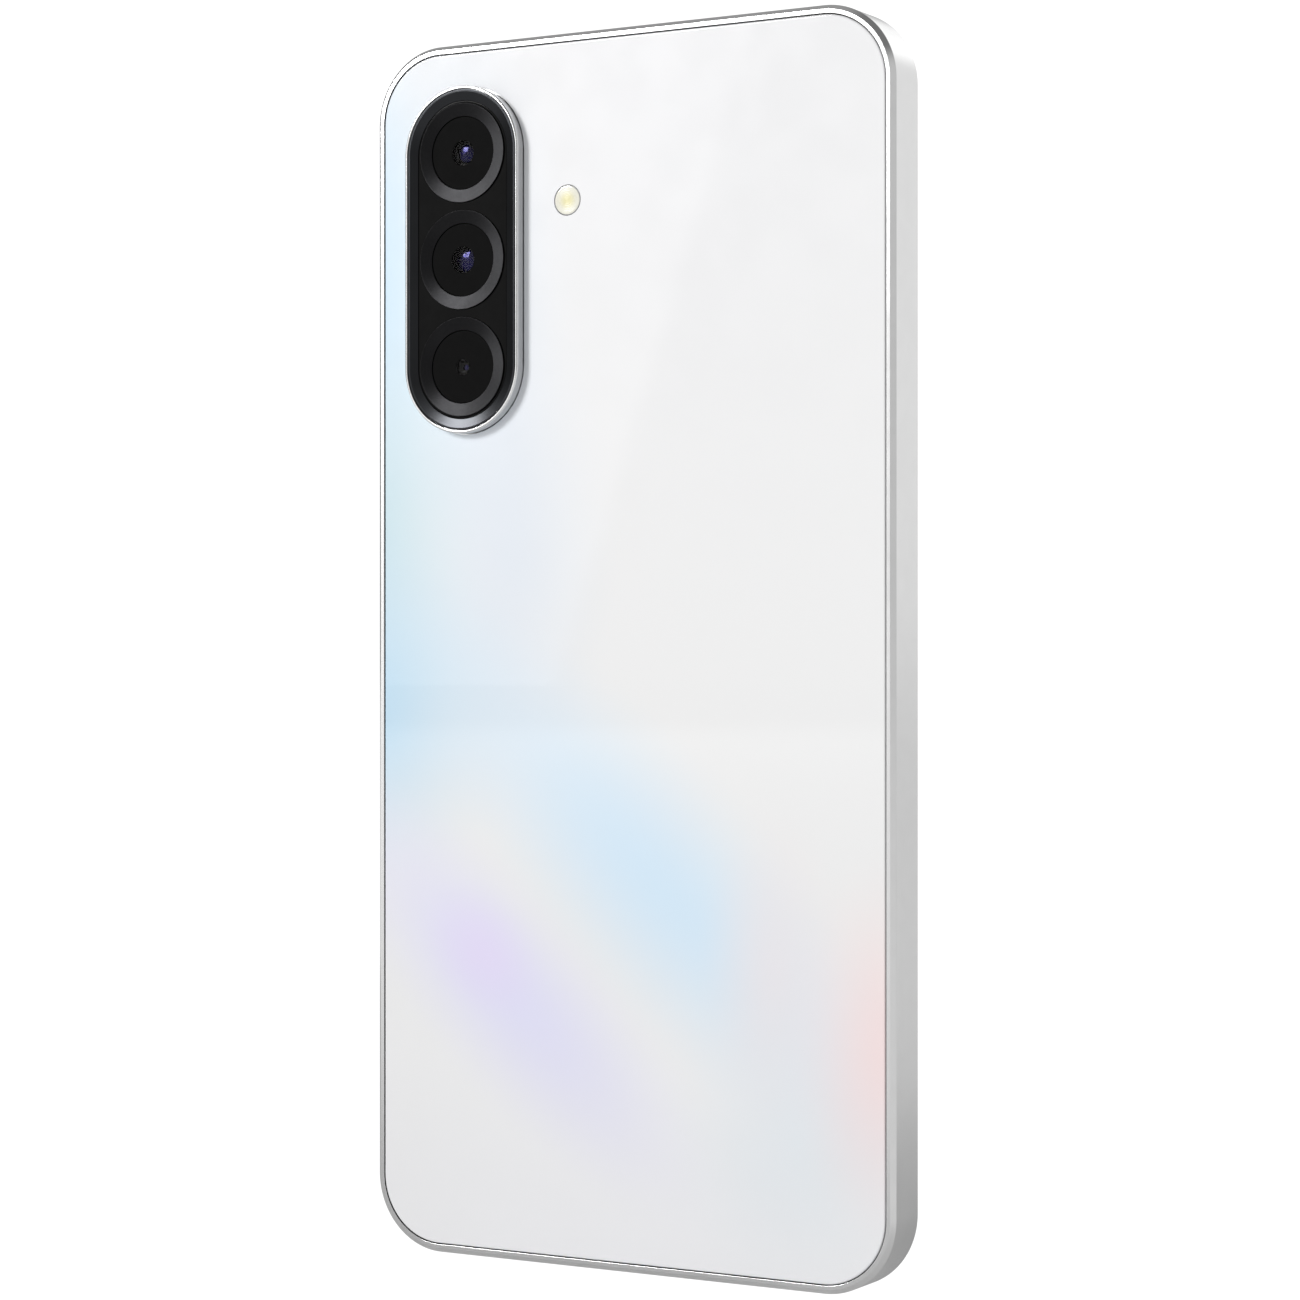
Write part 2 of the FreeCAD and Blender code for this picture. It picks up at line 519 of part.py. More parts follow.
def make_mid_plate():
    """The stiffening plate behind the display, with a boss for each screw."""
    body = new_body("mid_plate")
    pad(body, "sheet", "XZ", FOAM_BACK, FLOOR, whole_face("wall + mid_plate_gap"))
    bosses = [(disc, str(x), str(z), "boss_radius") for x, z in UPPER_SCREWS + LOWER_SCREWS]
    pad(body, "bosses", "XZ", FLOOR + " - boss_root", BOARD_FRONT, *bosses)
    holes = [(disc, str(x), str(z), "screw_radius + thread_gap")
             for x, z in UPPER_SCREWS + LOWER_SCREWS]
    pocket(body, "threads", "XZ", BOARD_FRONT + " - screw_depth - boss_root", BOARD_FRONT, *holes)
    pocket(body, "camera_hole", "XZ", FOAM_BACK, FLOOR,
           (disc, "0", "selfie_z", "punch_radius + selfie_gap"))
    pocket(body, "sensor_window", "XZ", FOAM_BACK, FLOOR, fingerprint_window())
    pocket(body, "flex_slot", "XZ", FOAM_BACK, FLOOR, display_flex_slot())


# ---- rear glass, camera island and flash ---------------------------------------------------

def make_back_glass():
    """The rear glass with the island and flash openings, and the film that holds it."""
    glass = new_body("back_glass")
    pad(glass, "sheet", "XZ", BACK_GLASS_FRONT, BACK, whole_face("glass_margin"))
    dress(glass, "Fillet", "soft_edge", "y", BACK, "glass_round")
    pocket(glass, "island_opening", "XZ", BACK_GLASS_FRONT, BACK, island("island_gap"))
    pocket(glass, "flash_opening", "XZ", BACK_GLASS_FRONT, BACK,
           (disc, "flash_x", "flash_z", "flash_radius + flash_gap"))

    film = new_body("back_adhesive")
    pad(film, "sheet", "XZ", BACK_LEDGE, BACK_GLASS_FRONT, whole_face("glass_margin + tape_inset"))
    pocket(film, "middle", "XZ", BACK_LEDGE, BACK_GLASS_FRONT, whole_face("wall - layer_gap"))


def make_camera_island():
    """The bright bezel, the dark bevelled ring inside it and the black plate on its shelf."""
    bezel = new_body("camera_bezel")
    flange_back = BACK_GLASS_FRONT + " - flange_gap"
    pad(bezel, "flange", "XZ", flange_back + " - flange_thickness", flange_back,
        island("bezel_flange"))
    pad(bezel, "band", "XZ", flange_back, ISLAND_TOP, island("0"))
    dress(bezel, "Fillet", "soft_edge", "y", ISLAND_TOP, "bezel_round")
    pocket(bezel, "inside", "XZ", flange_back + " - flange_thickness", ISLAND_TOP,
           island("-bezel_rim - bezel_shelf"))
    pocket(bezel, "seat", "XZ", SHELF, ISLAND_TOP, island("-bezel_rim"))

    ring = new_body("camera_bevel_ring")
    ring_top = ISLAND_TOP + " - bevel_recess"
    pad(ring, "band", "XZ", SHELF + " + plate_flange", ring_top, island("-bezel_rim - bevel_gap"))
    pocket(ring, "inside", "XZ", SHELF + " + plate_flange", ring_top,
           island("-bezel_rim - bevel_gap - bevel_width"))
    bevel_inner_edge(ring, ring_top)

    plate = new_body("camera_plate")
    pad(plate, "flange", "XZ", SHELF, SHELF + " + plate_flange", island("-bezel_rim - bevel_gap"))
    pad(plate, "face", "XZ", SHELF + " + plate_flange", PLATE_TOP,
        island("-bezel_rim - bevel_gap - bevel_width - plate_gap"))
    holes = [(disc, "island_x", z, "ring_outer + ring_gap") for z in LENSES.values()]
    pocket(plate, "lens_holes", "XZ", SHELF, PLATE_TOP, *holes)


def bevel_inner_edge(body, level):
    """Slope the top of the dark ring down towards the plate."""
    feature = body.Tip
    place = value(level)
    inner = value("island_width / 2 - bezel_rim - bevel_gap - bevel_width")
    centre_x = value("island_x")
    names = []
    for count, edge in enumerate(feature.Shape.Edges, start=1):
        box = edge.BoundBox
        flat = abs(box.YMin - place) < 1e-4 and abs(box.YMax - place) < 1e-4
        if flat and max(abs(box.XMin - centre_x), abs(box.XMax - centre_x)) < inner + 0.01:
            names.append("Edge%d" % count)
    chamfer = body.newObject("PartDesign::Chamfer", "bevel")
    chamfer.Base = (feature, names)
    chamfer.ChamferType = "Two distances"
    chamfer.setExpression("Size", bound("bevel_face"))
    chamfer.setExpression("Size2", bound("bevel_drop"))
    doc.recompute()
    across = [f for f in body.Shape.Faces if abs(f.BoundBox.YMax - place) < 1e-4
              and abs(f.BoundBox.YMin - place) < 1e-4]
    wide = sum(f.Area for f in across)
    if wide > (value("bevel_width") - value("bevel_drop")) * value("2 * island_height"):
        chamfer.FlipDirection = True
        doc.recompute()


def make_lens_rings():
    """Three round bevelled rings, each with a glass window on its inner ledge."""
    rings = new_body("lens_rings")
    windows = []
    for place, z in LENSES.items():
        sketch = sketch_on(rings, "ring_profile_" + place, "XY", z)
        ring_profile(sketch)
        turn = rings.newObject("PartDesign::Revolution", "turned_ring_" + place)
        turn.Profile = sketch
        turn.ReferenceAxis = (axis_line(rings, place), ["Edge1"])
        doc.recompute()
        windows.append(rod("lens_window_" + place, "island_x", WINDOW_FRONT, z,
                           "ring_inner - window_gap", "window_thickness", vector(0, 1, 0)))
    group("lens_windows", windows)


def axis_line(body, place):
    """A sketch with one line, on the lens axis, for a revolution to turn about."""
    axis = sketch_on(body, "lens_axis_" + place, "XY", LENSES[place])
    top = value(ISLAND_TOP)
    x = value("island_x")
    axis.addGeometry(Part.LineSegment(vector(x, 0), vector(x, top)), False)
    axis.addConstraint(Sketcher.Constraint("Vertical", 0))
    axis.addConstraint(Sketcher.Constraint("PointOnObject", 0, 1, -1))
    hold(axis, "DistanceX", (-1, 1, 0, 1), "island_x")
    hold(axis, "DistanceY", (0, 1, 0, 2), ISLAND_TOP)
    return axis


def ring_profile(sketch):
    """Half the ring's section: sloping face, inner wall, window ledge, foot and outer wall."""
    foot = WINDOW_FRONT + " - ring_foot"
    ledge = "island_x + ring_inner - ring_ledge"
    inner = "island_x + ring_inner"
    outer = "island_x + ring_outer"
    corners = [(ledge, foot), (outer, foot), (outer, RING_TOP),
               (inner, RING_TOP + " - ring_slope"), (inner, WINDOW_FRONT), (ledge, WINDOW_FRONT)]
    points = [vector(value(x), value(y)) for x, y in corners]
    count = len(points)
    lines = [Part.LineSegment(points[k], points[(k + 1) % count]) for k in range(count)]
    sketch.addGeometry(lines, False)
    for k in range(count):
        sketch.addConstraint(Sketcher.Constraint("Coincident", k, 2, (k + 1) % count, 1))
    for k, (x, y) in enumerate(corners):
        hold(sketch, "DistanceX", (-1, 1, k, 1), x)
        hold(sketch, "DistanceY", (-1, 1, k, 1), y)


def make_flash():
    """The flash window in the rear glass and the lamp behind it."""
    lens = rod("flash_lens", "flash_x", BACK_GLASS_FRONT, "flash_z", "flash_radius",
               "glass_thickness", vector(0, 1, 0))
    pieces.append(lens)
    led = new_body("flash_led")
    pad(led, "lamp", "XZ", "cover_back", "cover_back + led_thickness",
        (square, "flash_x", "flash_z", "led_size", "led_size"))


# ---- keys ----------------------------------------------------------------------------------

def make_keys():
    """Power key, volume rocker, and the flat cable with three dome switches behind them."""
    for key in ("power", "volume"):
        body = new_body(key + "_key")
        flange_front = FLANGE_BACK + " + key_flange_thickness"
        pad(body, "flange", "YZ", FLANGE_BACK, flange_front,
            (pill, "0", key + "_z", "key_width + key_flange", key + "_length + key_flange"))
        pad(body, "cap", "YZ", flange_front, "body_width / 2 + key_proud",
            (pill, "0", key + "_z", "key_width", key + "_length"))
        dress(body, "Fillet", "crown", "x", "body_width / 2 + key_proud", "key_crown")

    flex = new_body("key_flex")
    low = "power_z - power_length / 2 - key_flex_end"
    high = "volume_z + volume_length / 2 + key_flex_end"
    pad(flex, "strip", "YZ", DOME_BASE + " - key_flex_thickness", DOME_BASE,
        (square, "(%s + key_width / 2) / 2" % FLOOR, "(%s + %s) / 2" % (low, high),
         "key_width / 2 - (%s)" % FLOOR, "(%s) - (%s)" % (high, low)))

    domes = [rod("dome_%d" % number, DOME_BASE, "0", z, "dome_radius", "dome_height",
                 vector(1, 0, 0))
             for number, z in enumerate(("power_z", "volume_z - dome_spread",
                                         "volume_z + dome_spread"))]
    group("key_domes", domes)


# ---- SIM tray and ejector ------------------------------------------------------------------

def make_sim_tray():
    """The tray with two card seats, and a pin hole through its head."""
    body = new_body("sim_tray")
    bottom = TRAY_SHOULDER + " - tray_length"
    pad(body, "head", "XY", TRAY_SHOULDER, "body_height",
        (pill, "sim_x", "tray_head_y", "tray_head_width", "tray_head_depth"))
    pad(body, "carrier", "XY", bottom, TRAY_SHOULDER,
        (square, "sim_x", "sim_y", "tray_width", "tray_thickness"))
    face = "sim_y - tray_thickness / 2"
    seats = ["%s - card_first - %d * card_pitch" % (TRAY_SHOULDER, k) for k in range(2)]
    pocket(body, "card_seats", "XZ", face, face + " + card_thickness",
           *[(square, "sim_x", z, "card_width", "card_length") for z in seats])
    pocket(body, "card_windows", "XZ", face, "sim_y + tray_thickness / 2",
           *[(square, "sim_x", z, "card_width - 2 * card_rest", "card_length - 2 * card_rest")
             for z in seats])
    pocket(body, "pin_hole", "XY", TRAY_SHOULDER, "body_height",
           (disc, ROD_X, "sim_y", "eject_hole_radius"))


def make_ejector():
    """The card cage with its lever pin, the push rod and the lever that drives the tray out."""
    cage = new_body("sim_cage")
    gap_y = "cage_gap / 2"
    outer = (square, "sim_x", "sim_y", "tray_width + 2 * (cage_gap + cage_sheet)",
             "tray_thickness + 2 * (%s + cage_sheet)" % gap_y)
    inner = (square, "sim_x", "sim_y", "tray_width + 2 * cage_gap",
             "tray_thickness + 2 * %s" % gap_y)
    top = INSIDE_TOP + " - cage_gap"
    pad(cage, "sleeve", "XY", "cage_bottom", top, outer)
    for number in range(2):
        low = "cage_bottom + guide_first + %d * guide_pitch" % number
        pad(cage, "guide_%d" % number, "XY", low, low + " + guide_height",
            (square, ROD_X + " - guide_shift", "sim_y", "guide_width", "tray_thickness"))
    pocket(cage, "inside", "XY", "cage_bottom", top, inner)
    pocket(cage, "rod_guides", "XY", "cage_bottom", top,
           (square, ROD_X, "sim_y", ROD_CHANNEL, ROD_CHANNEL))
    tongue = "sim_y + tray_thickness / 2 + " + gap_y
    pad(cage, "tongue", "XZ", tongue, tongue + " + cage_sheet",
        (square, "sim_x", "(cage_bottom + cage_tongue_lap + lever_z - cage_tongue_tail) / 2",
         "tray_width", "cage_bottom + cage_tongue_lap - lever_z + cage_tongue_tail"))
    lever_front = "sim_y - lever_thickness / 2"
    under_head = lever_front + " - pin_gap"
    pad(cage, "lever_pin", "XZ", under_head, tongue, (disc, LEVER_X, "lever_z", "pin_radius"))
    pad(cage, "pin_head", "XZ", under_head + " - pin_head_thickness", under_head,
        (disc, LEVER_X, "lever_z", "pin_head_radius"))

    push_rod = rod("eject_rod", ROD_X, "sim_y", "rod_bottom", "rod_radius",
                   "rod_top - rod_bottom", vector(0, 0, 1))
    pieces.append(push_rod)

    lever = new_body("eject_lever")
    back = "sim_y + lever_thickness / 2"
    pad(lever, "bar", "XZ", lever_front, back,
        (pill, LEVER_X + " + (lever_rod_arm - lever_tray_arm) / 2", "lever_z",
         "lever_rod_arm + lever_tray_arm", "lever_width"))
    pad(lever, "hub", "XZ", lever_front, back, (disc, LEVER_X, "lever_z", "pin_head_radius"))
    pocket(lever, "pivot_hole", "XZ", lever_front, back,
           (disc, LEVER_X, "lever_z", "pin_radius + pin_clearance"))


# ---- boards, covers and screws -------------------------------------------------------------

def make_boards():
    """Main board, lower board, their chips and connectors, and three shield cans."""
    board = new_body("main_board")
    pad(board, "wide_part", "XZ", BOARD_FRONT, BOARD_BACK,
        (rounded, *plan("board_wide"), "board_round"))
    pad(board, "tall_part", "XZ", BOARD_FRONT, BOARD_BACK,
        (rounded, *plan("board_tall"), "tall_board_round"))
    pocket(board, "screw_holes", "XZ", BOARD_FRONT, BOARD_BACK, *screw_holes(UPPER_SCREWS))

    lower = new_body("lower_board")
    pad(lower, "sheet", "XZ", BOARD_FRONT, BOARD_BACK,
        (rounded, *plan("lower_board"), "lower_board_round"))
    pocket(lower, "socket_notch", "XZ", BOARD_FRONT, BOARD_BACK, (square, *plan("lower_notch")))
    pocket(lower, "screw_holes", "XZ", BOARD_FRONT, BOARD_BACK, *screw_holes(LOWER_SCREWS))

    chip_height = "shield_height - 2 * shield_sheet"
    chips = [block(name, BOARD_BACK, BOARD_BACK + " + " + chip_height)
             for name in ("processor_chip", "memory_chip", "power_chip", "charger_chip")]
    chips += [block(name, BOARD_FRONT + " - (" + chip_height + ")", BOARD_FRONT)
              for name in ("radio_chip", "amplifier_chip")]
    group("board_chips", chips)
    connectors = [block(name, BOARD_BACK, CONNECTOR_TOP)
                  for name in ("battery_connector", "upper_flex_connector",
                               "lower_flex_connector")]
    group("board_connectors", connectors)

    for name in ("processor_shield", "power_shield"):
        make_shield(name, BOARD_BACK, BOARD_BACK + " + shield_height", "back")
    make_shield("radio_shield", BOARD_FRONT + " - shield_height", BOARD_FRONT, "front")


def make_shield(name, low, high, side):
    """A folded can, open towards the board."""
    x, z, width, height = plan(name)
    can = new_body(name)
    pad(can, "can", "XZ", low, high, (rounded, x, z, width, height, "shield_round"))
    inner = (rounded, x, z, width + " - 2 * shield_sheet", height + " - 2 * shield_sheet",
             "shield_round - shield_sheet")
    if side == "back":
        pocket(can, "hollow", "XZ", low, high + " - shield_sheet", inner)
    else:
        pocket(can, "hollow", "XZ", low + " + shield_sheet", high, inner)


def screw_holes(places):
    return [(disc, str(x), str(z), "screw_radius + screw_clearance") for x, z in places]


def make_covers():
    """Moulded covers over both boards, with a post and a sunk seat at each screw."""
    for name, places in (("upper_cover", UPPER_SCREWS), ("lower_cover", LOWER_SCREWS)):
        cover = new_body(name)
        pad(cover, "sheet", "XZ", "cover_front", "cover_back",
            (rounded, *plan(name), name + "_round"))
        posts = [(disc, str(x), str(z), "boss_radius") for x, z in places]
        pad(cover, "posts", "XZ", BOARD_BACK, "cover_front", *posts)
        pocket(cover, "screw_holes", "XZ", BOARD_BACK, "cover_back", *screw_holes(places))
        seats = [(disc, str(x), str(z), "screw_head_radius + screw_clearance") for x, z in places]
        pocket(cover, "screw_seats", "XZ", "cover_back - screw_head_height", "cover_back", *seats)


def make_screws():
    """Ten equal screws, from the covers into the bosses."""
    screws = new_body("cover_screws")
    places = UPPER_SCREWS + LOWER_SCREWS
    pad(screws, "shanks", "XZ", BOARD_FRONT + " - screw_depth", "cover_back - screw_head_height",
        *[(disc, str(x), str(z), "screw_radius") for x, z in places])
    pad(screws, "heads", "XZ", "cover_back - screw_head_height", "cover_back",
        *[(disc, str(x), str(z), "screw_head_radius") for x, z in places])
    pocket(screws, "drives", "XZ", "cover_back - screw_head_height / 2", "cover_back",
           *[(square, str(x), str(z), "screw_radius", "screw_radius / 3") for x, z in places])


def make_nfc_coil():
    """The flat contactless coil on the upper cover."""
    coil = new_body("nfc_coil")
    pad(coil, "sheet", "XZ", "cover_back", "cover_back + film_thickness",
        (rounded, *plan("nfc_coil"), "coil_round"))
    pocket(coil, "middle", "XZ", "cover_back", "cover_back + film_thickness",
           (rounded, *plan("nfc_window"), "coil_window_round"))


# ---- battery and cables --------------------------------------------------------------------

def make_battery():
    """The pouch cell, its protection board and the tongue that reaches the main board."""
    cell = new_body("battery")
    pad(cell, "pouch", "XZ", FLOOR, BATTERY_BACK, (rounded, *plan("battery"), "battery_round"))
    dress(cell, "Fillet", "soft_edge", "y", BATTERY_BACK, "edge_round")

    board = new_body("battery_board")
    top = CONNECTOR_TOP + " + flex_thickness"
    pad(board, "block", "XZ", "battery_board_front", top, (square, *plan("battery_board")))
    pad(board, "tongue", "XZ", CONNECTOR_TOP, top, (square, *plan("battery_tongue")))


def make_main_flex():
    """The flat cable over the battery, stepping down to a connector on each board."""
    flex = new_body("main_flex")
    low_end = "battery_z - battery_height / 2 - flex_low_gap"
    high_end = "battery_z + battery_height / 2 + flex_high_gap"
    low_foot, high_foot = "lower_flex_connector_z - flex_foot", "upper_flex_connector_z + flex_foot"

    def strip(name, low, high, start, end):
        pad(flex, name, "XZ", low, high,
            (square, "flex_x", "((%s) + (%s)) / 2" % (start, end), "flex_width",
             "(%s) - (%s)" % (end, start)))

    strip("over_battery", BATTERY_BACK, BATTERY_BACK + " + flex_thickness", low_end, high_end)
    strip("lower_step", CONNECTOR_TOP, BATTERY_BACK, low_end, low_end + " + flex_thickness")
    strip("upper_step", CONNECTOR_TOP, BATTERY_BACK, high_end + " - flex_thickness", high_end)
    strip("lower_foot", CONNECTOR_TOP, CONNECTOR_TOP + " + flex_thickness", low_foot, low_end)
    strip("upper_foot", CONNECTOR_TOP, CONNECTOR_TOP + " + flex_thickness", high_end, high_foot)


def make_antenna_cable():
    """The thin coaxial cable along the -X wall: straight runs joined by tangent arcs."""
    cable = doc.addObject("Part::Feature", "antenna_cable")
    cable.Label = "antenna_cable"
    x, y, bend, radius = (value(n) for n in ("coax_x", "coax_y", "coax_bend", "coax_radius"))
    low, high = value("coax_low"), value("coax_high")
    start = vector(value("coax_start"), y, low)
    end = vector(value("coax_end"), y, high)
    lean = bend * (1 - math.sqrt(0.5))
    corners = [
        (vector(x + bend, y, low), vector(x + lean, y, low + lean), vector(x, y, low + bend)),
        (vector(x, y, high - bend), vector(x + lean, y, high - lean), vector(x + bend, y, high)),
    ]
    edges = [Part.LineSegment(start, corners[0][0]).toShape(),
             Part.Arc(*corners[0]).toShape(),
             Part.LineSegment(corners[0][2], corners[1][0]).toShape(),
             Part.Arc(*corners[1]).toShape(),
             Part.LineSegment(corners[1][2], end).toShape()]
    section = Part.Wire(Part.Circle(start, vector(1, 0, 0), radius).toShape())
    tube = Part.Wire(edges).makePipeShell([section], True, False)
    base = value(BOARD_BACK)
    plugs = [Part.makeCylinder(2 * radius, y + radius - base, vector(p.x, base, p.z), vector(0, 1, 0))
             for p in (start, end)]
    cable.Shape = tube.fuse(plugs).removeSplitter()
    cable.Placement = FreeCAD.Placement()
    pieces.append(cable)


# ---- cameras -------------------------------------------------------------------------------

def make_fixed_cameras():
    """Front, ultra-wide and close-up cameras: a square body with a round lens barrel."""
    front = new_body("front_camera")
    pad(front, "housing", "XZ", FLOOR, "selfie_back", (rounded, *plan("selfie_body"), "camera_round"))
    pad(front, "barrel", "XZ", PANEL_FRONT + " + panel_gap", FLOOR,
        (disc, "0", "selfie_z", "selfie_barrel"))

    top = WINDOW_FRONT + " - barrel_to_window"
    for kind in ("ultrawide", "closeup"):
        x, z, width, height = plan(kind + "_camera")
        camera = new_body(kind + "_camera")
        pad(camera, "housing", "XZ", FLOOR, kind + "_back",
            (rounded, x, z, width, height, "camera_round"))
        pad(camera, "barrel", "XZ", kind + "_back", top, (disc, x, z, kind + "_barrel"))
        pocket(camera, "aperture", "XZ", top + " - aperture_depth", top,
               (disc, x, z, kind + "_barrel / 2"))


def make_main_camera():
    """The stabilised camera: housing, sensor, two sliding carriers and the focusing barrel."""
    x, z, width, height = plan("main_camera")
    base = FLOOR + " + sensor_thickness"
    roof = "housing_back - housing_wall / 2"
    housing = new_body("main_camera_housing")
    pad(housing, "can", "XZ", FLOOR, "housing_back", (rounded, x, z, width, height, "housing_round"))
    pocket(housing, "hollow", "XZ", base, roof,
           (square, x, z, width + " - 2 * housing_wall", height + " - 2 * housing_wall"))
    pocket(housing, "mouth", "XZ", roof, "housing_back", (disc, x, z, "housing_mouth"))

    sensor = new_body("image_sensor")
    pad(sensor, "chip", "XZ", base, base + " + sensor_thickness",
        (square, x, z, "sensor_size", "sensor_size"))

    outer = new_body("stabiliser_frame")
    pad(outer, "frame", "XZ", "carrier_front", "carrier_back",
        (rounded, x, z, "outer_carrier", "outer_carrier", "carrier_round"))
    pocket(outer, "opening", "XZ", "carrier_front", "carrier_back",
           (square, x, z, "outer_carrier_hole", "outer_carrier_hole"))

    inner = new_body("lens_carrier")
    pad(inner, "frame", "XZ", "carrier_front", "carrier_back",
        (rounded, x, z, "inner_carrier", "inner_carrier", "carrier_round"))
    pocket(inner, "bore", "XZ", "carrier_front", "carrier_back",
           (disc, x, z, "barrel_radius + barrel_clearance"))

    barrel = new_body("main_lens_barrel")
    pad(barrel, "tube", "XZ", "barrel_front", "barrel_back", (disc, x, z, "barrel_radius"))
    pocket(barrel, "aperture", "XZ", "barrel_back - barrel_bore_depth", "barrel_back",
           (disc, x, z, "barrel_bore"))


# ---- sound, vibration and the socket -------------------------------------------------------

def make_loudspeaker():
    """The open box under the lower cover, with its magnet, diaphragm and coil."""
    x, z, width, height = plan("speaker_box")
    box = new_body("speaker_box")
    pad(box, "shell", "XZ", FLOOR, "cover_front", (rounded, x, z, width, height, "speaker_round"))
    pocket(box, "hollow", "XZ", FLOOR + " + speaker_wall", "cover_front",
           (rounded, x, z, width + " - 2 * speaker_wall", height + " - 2 * speaker_wall",
            "speaker_round - speaker_wall"))
    edge = "speaker_box_z - speaker_box_height / 2"
    pocket(box, "mouth", "XY", edge, edge + " + speaker_wall",
           (square, "speaker_box_x - speaker_mouth_shift", "0", "speaker_mouth_width", "slot_width"))

    centre = ("speaker_magnet_x", "speaker_magnet_z")
    magnet = new_body("speaker_magnet")
    pad(magnet, "block", "XZ", "magnet_front", "cover_front",
        (rounded, *plan("speaker_magnet"), "magnet_round"))
    pocket(magnet, "coil_groove", "XZ", "magnet_front", "magnet_front + groove_depth",
           (disc, *centre, "coil_radius + groove_margin"),
           (disc, *centre, "coil_radius - coil_wall - groove_margin"))

    cone = new_body("speaker_diaphragm")
    back = "diaphragm_y + diaphragm_thickness"
    pad(cone, "sheet", "XZ", "diaphragm_y", back,
        (rounded, *plan("speaker_plate"), "diaphragm_round"))
    pad(cone, "coil", "XZ", back, back + " + coil_length", (disc, *centre, "coil_radius"),
        (disc, *centre, "coil_radius - coil_wall"))


def make_earpiece():
    """The earpiece case, open towards the display, and its diaphragm."""
    x, z, width, height = plan("earpiece_case")
    case = new_body("earpiece_case")
    pad(case, "shell", "XZ", FLOOR, "earpiece_back",
        (rounded, x, z, width, height, "earpiece_round"))
    pocket(case, "hollow", "XZ", FLOOR, "earpiece_back - earpiece_wall",
           (rounded, x, z, width + " - 2 * earpiece_wall", height + " - 2 * earpiece_wall",
            "earpiece_round - earpiece_wall"))
    pocket(case, "mouth", "XZ", FLOOR, FLOOR + " + mic_depth / 2",
           (square, "duct_x", z + " + " + height + " / 2", "duct_width - 2 * earpiece_wall",
            "earpiece_mouth_height"))
    sheet_piece = block("earpiece_plate", "earpiece_diaphragm_y",
                        "earpiece_diaphragm_y + diaphragm_thickness")
    sheet_piece.Label = "earpiece_diaphragm"
    pieces.append(sheet_piece)


def make_meshes_and_microphones():
    """Dust meshes behind the slots and in the earpiece slit, and both microphones."""
    speaker_mesh = block("speaker_mesh", "-mesh_depth / 2", "mesh_depth / 2")
    slit = doc.addObject("Part::Box", "earpiece_mesh")
    slit.setExpression("Length", bound("earpiece_slit_length - 2 * mesh_thickness"))
    slit.setExpression("Width", bound("mesh_thickness"))
    slit.setExpression("Height", bound("earpiece_slit_width - mesh_thickness / 2"))
    slit.setExpression("Placement.Base.x", bound("mesh_thickness - earpiece_slit_length / 2"))
    slit.setExpression("Placement.Base.y", bound(FRONT + " + earpiece_slit_depth - mesh_thickness"))
    slit.setExpression("Placement.Base.z", bound("body_height - lip"))
    group("acoustic_meshes", [speaker_mesh, slit])
    lower = block("bottom_microphone", BOARD_FRONT + " - mic_depth", BOARD_FRONT)
    upper = block("top_microphone", FLOOR, FLOOR + " + mic_depth")
    group("microphones", [lower, upper])


def make_vibration_motor():
    """The round motor: a case, its fixed shaft, and an eccentric rotor that spins on it."""
    centre = ("motor_x", "motor_z")
    top = FLOOR + " + motor_height"
    case = new_body("motor_case")
    pad(case, "cup", "XZ", FLOOR, top, (disc, *centre, "motor_radius"))
    pocket(case, "hollow", "XZ", FLOOR, top + " - motor_wall",
           (disc, *centre, "motor_radius - motor_wall"))

    shaft = rod("motor_shaft", "motor_x", FLOOR, "motor_z", "shaft_radius",
                "motor_height - motor_wall", vector(0, 1, 0))
    pieces.append(shaft)

    rotor = new_body("vibration_rotor")
    high = "rotor_front + rotor_height"
    pad(rotor, "disc", "XZ", "rotor_front", high, (disc, *centre, "rotor_radius"))
    pocket(rotor, "light_side", "XZ", "rotor_front", high,
           (square, "motor_x", "motor_z + rotor_hub + rotor_radius", "2 * motor_radius",
            "2 * rotor_radius"))
    pad(rotor, "hub", "XZ", "rotor_front", high, (disc, *centre, "rotor_hub"))
    pocket(rotor, "bore", "XZ", "rotor_front", high,
           (disc, *centre, "shaft_radius + shaft_clearance"))


def make_usb_socket():
    """The drawn steel shell, closed at its inner end, and the contact tongue."""
    shell = new_body("usb_shell")
    pad(shell, "tube", "XY", "shell_mouth", "shell_end",
        (pill, "0", "0", "shell_width", "shell_height"))
    pocket(shell, "inside", "XY", "shell_mouth", "shell_end - shell_back",
           (pill, "0", "0", "shell_width - 2 * shell_wall", "shell_height - 2 * shell_wall"))
    tongue = new_body("usb_tongue")
    pad(tongue, "blade", "XY", "tongue_front", "shell_end - shell_back",
        (square, "0", "0", "tongue_width", "tongue_thickness"))


# ---- making and writing --------------------------------------------------------------------

def check_and_write():
    """Stop on any failed object or bad shape, then write one file for each piece."""
    doc.recompute()
    failed = [o.Label for o in doc.Objects if {"Invalid", "Error"} & set(o.State)]
    failed += [p.Label for p in pieces if p.Shape.isNull() or not p.Shape.isValid()]
    if failed:
        raise RuntimeError("failed: " + ", ".join(failed))
    os.makedirs("parts", exist_ok=True)
    for piece in pieces:
        piece.Shape.exportStep(os.path.join("parts", piece.Label + ".step"))
        print("%-22s %2d solid(s) %10.3f mm3"
              % (piece.Label, len(piece.Shape.Solids), piece.Shape.Volume))
    print(len(pieces), "pieces")


for make in (make_side_frame, make_display, make_mid_plate, make_back_glass, make_camera_island,
             make_lens_rings, make_flash, make_keys, make_sim_tray, make_ejector, make_boards,
             make_covers, make_screws, make_nfc_coil, make_battery, make_main_flex,
             make_antenna_cable, make_fixed_cameras, make_main_camera, make_loudspeaker,
             make_earpiece, make_meshes_and_microphones, make_vibration_motor, make_usb_socket):
    make()
check_and_write()
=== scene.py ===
import math

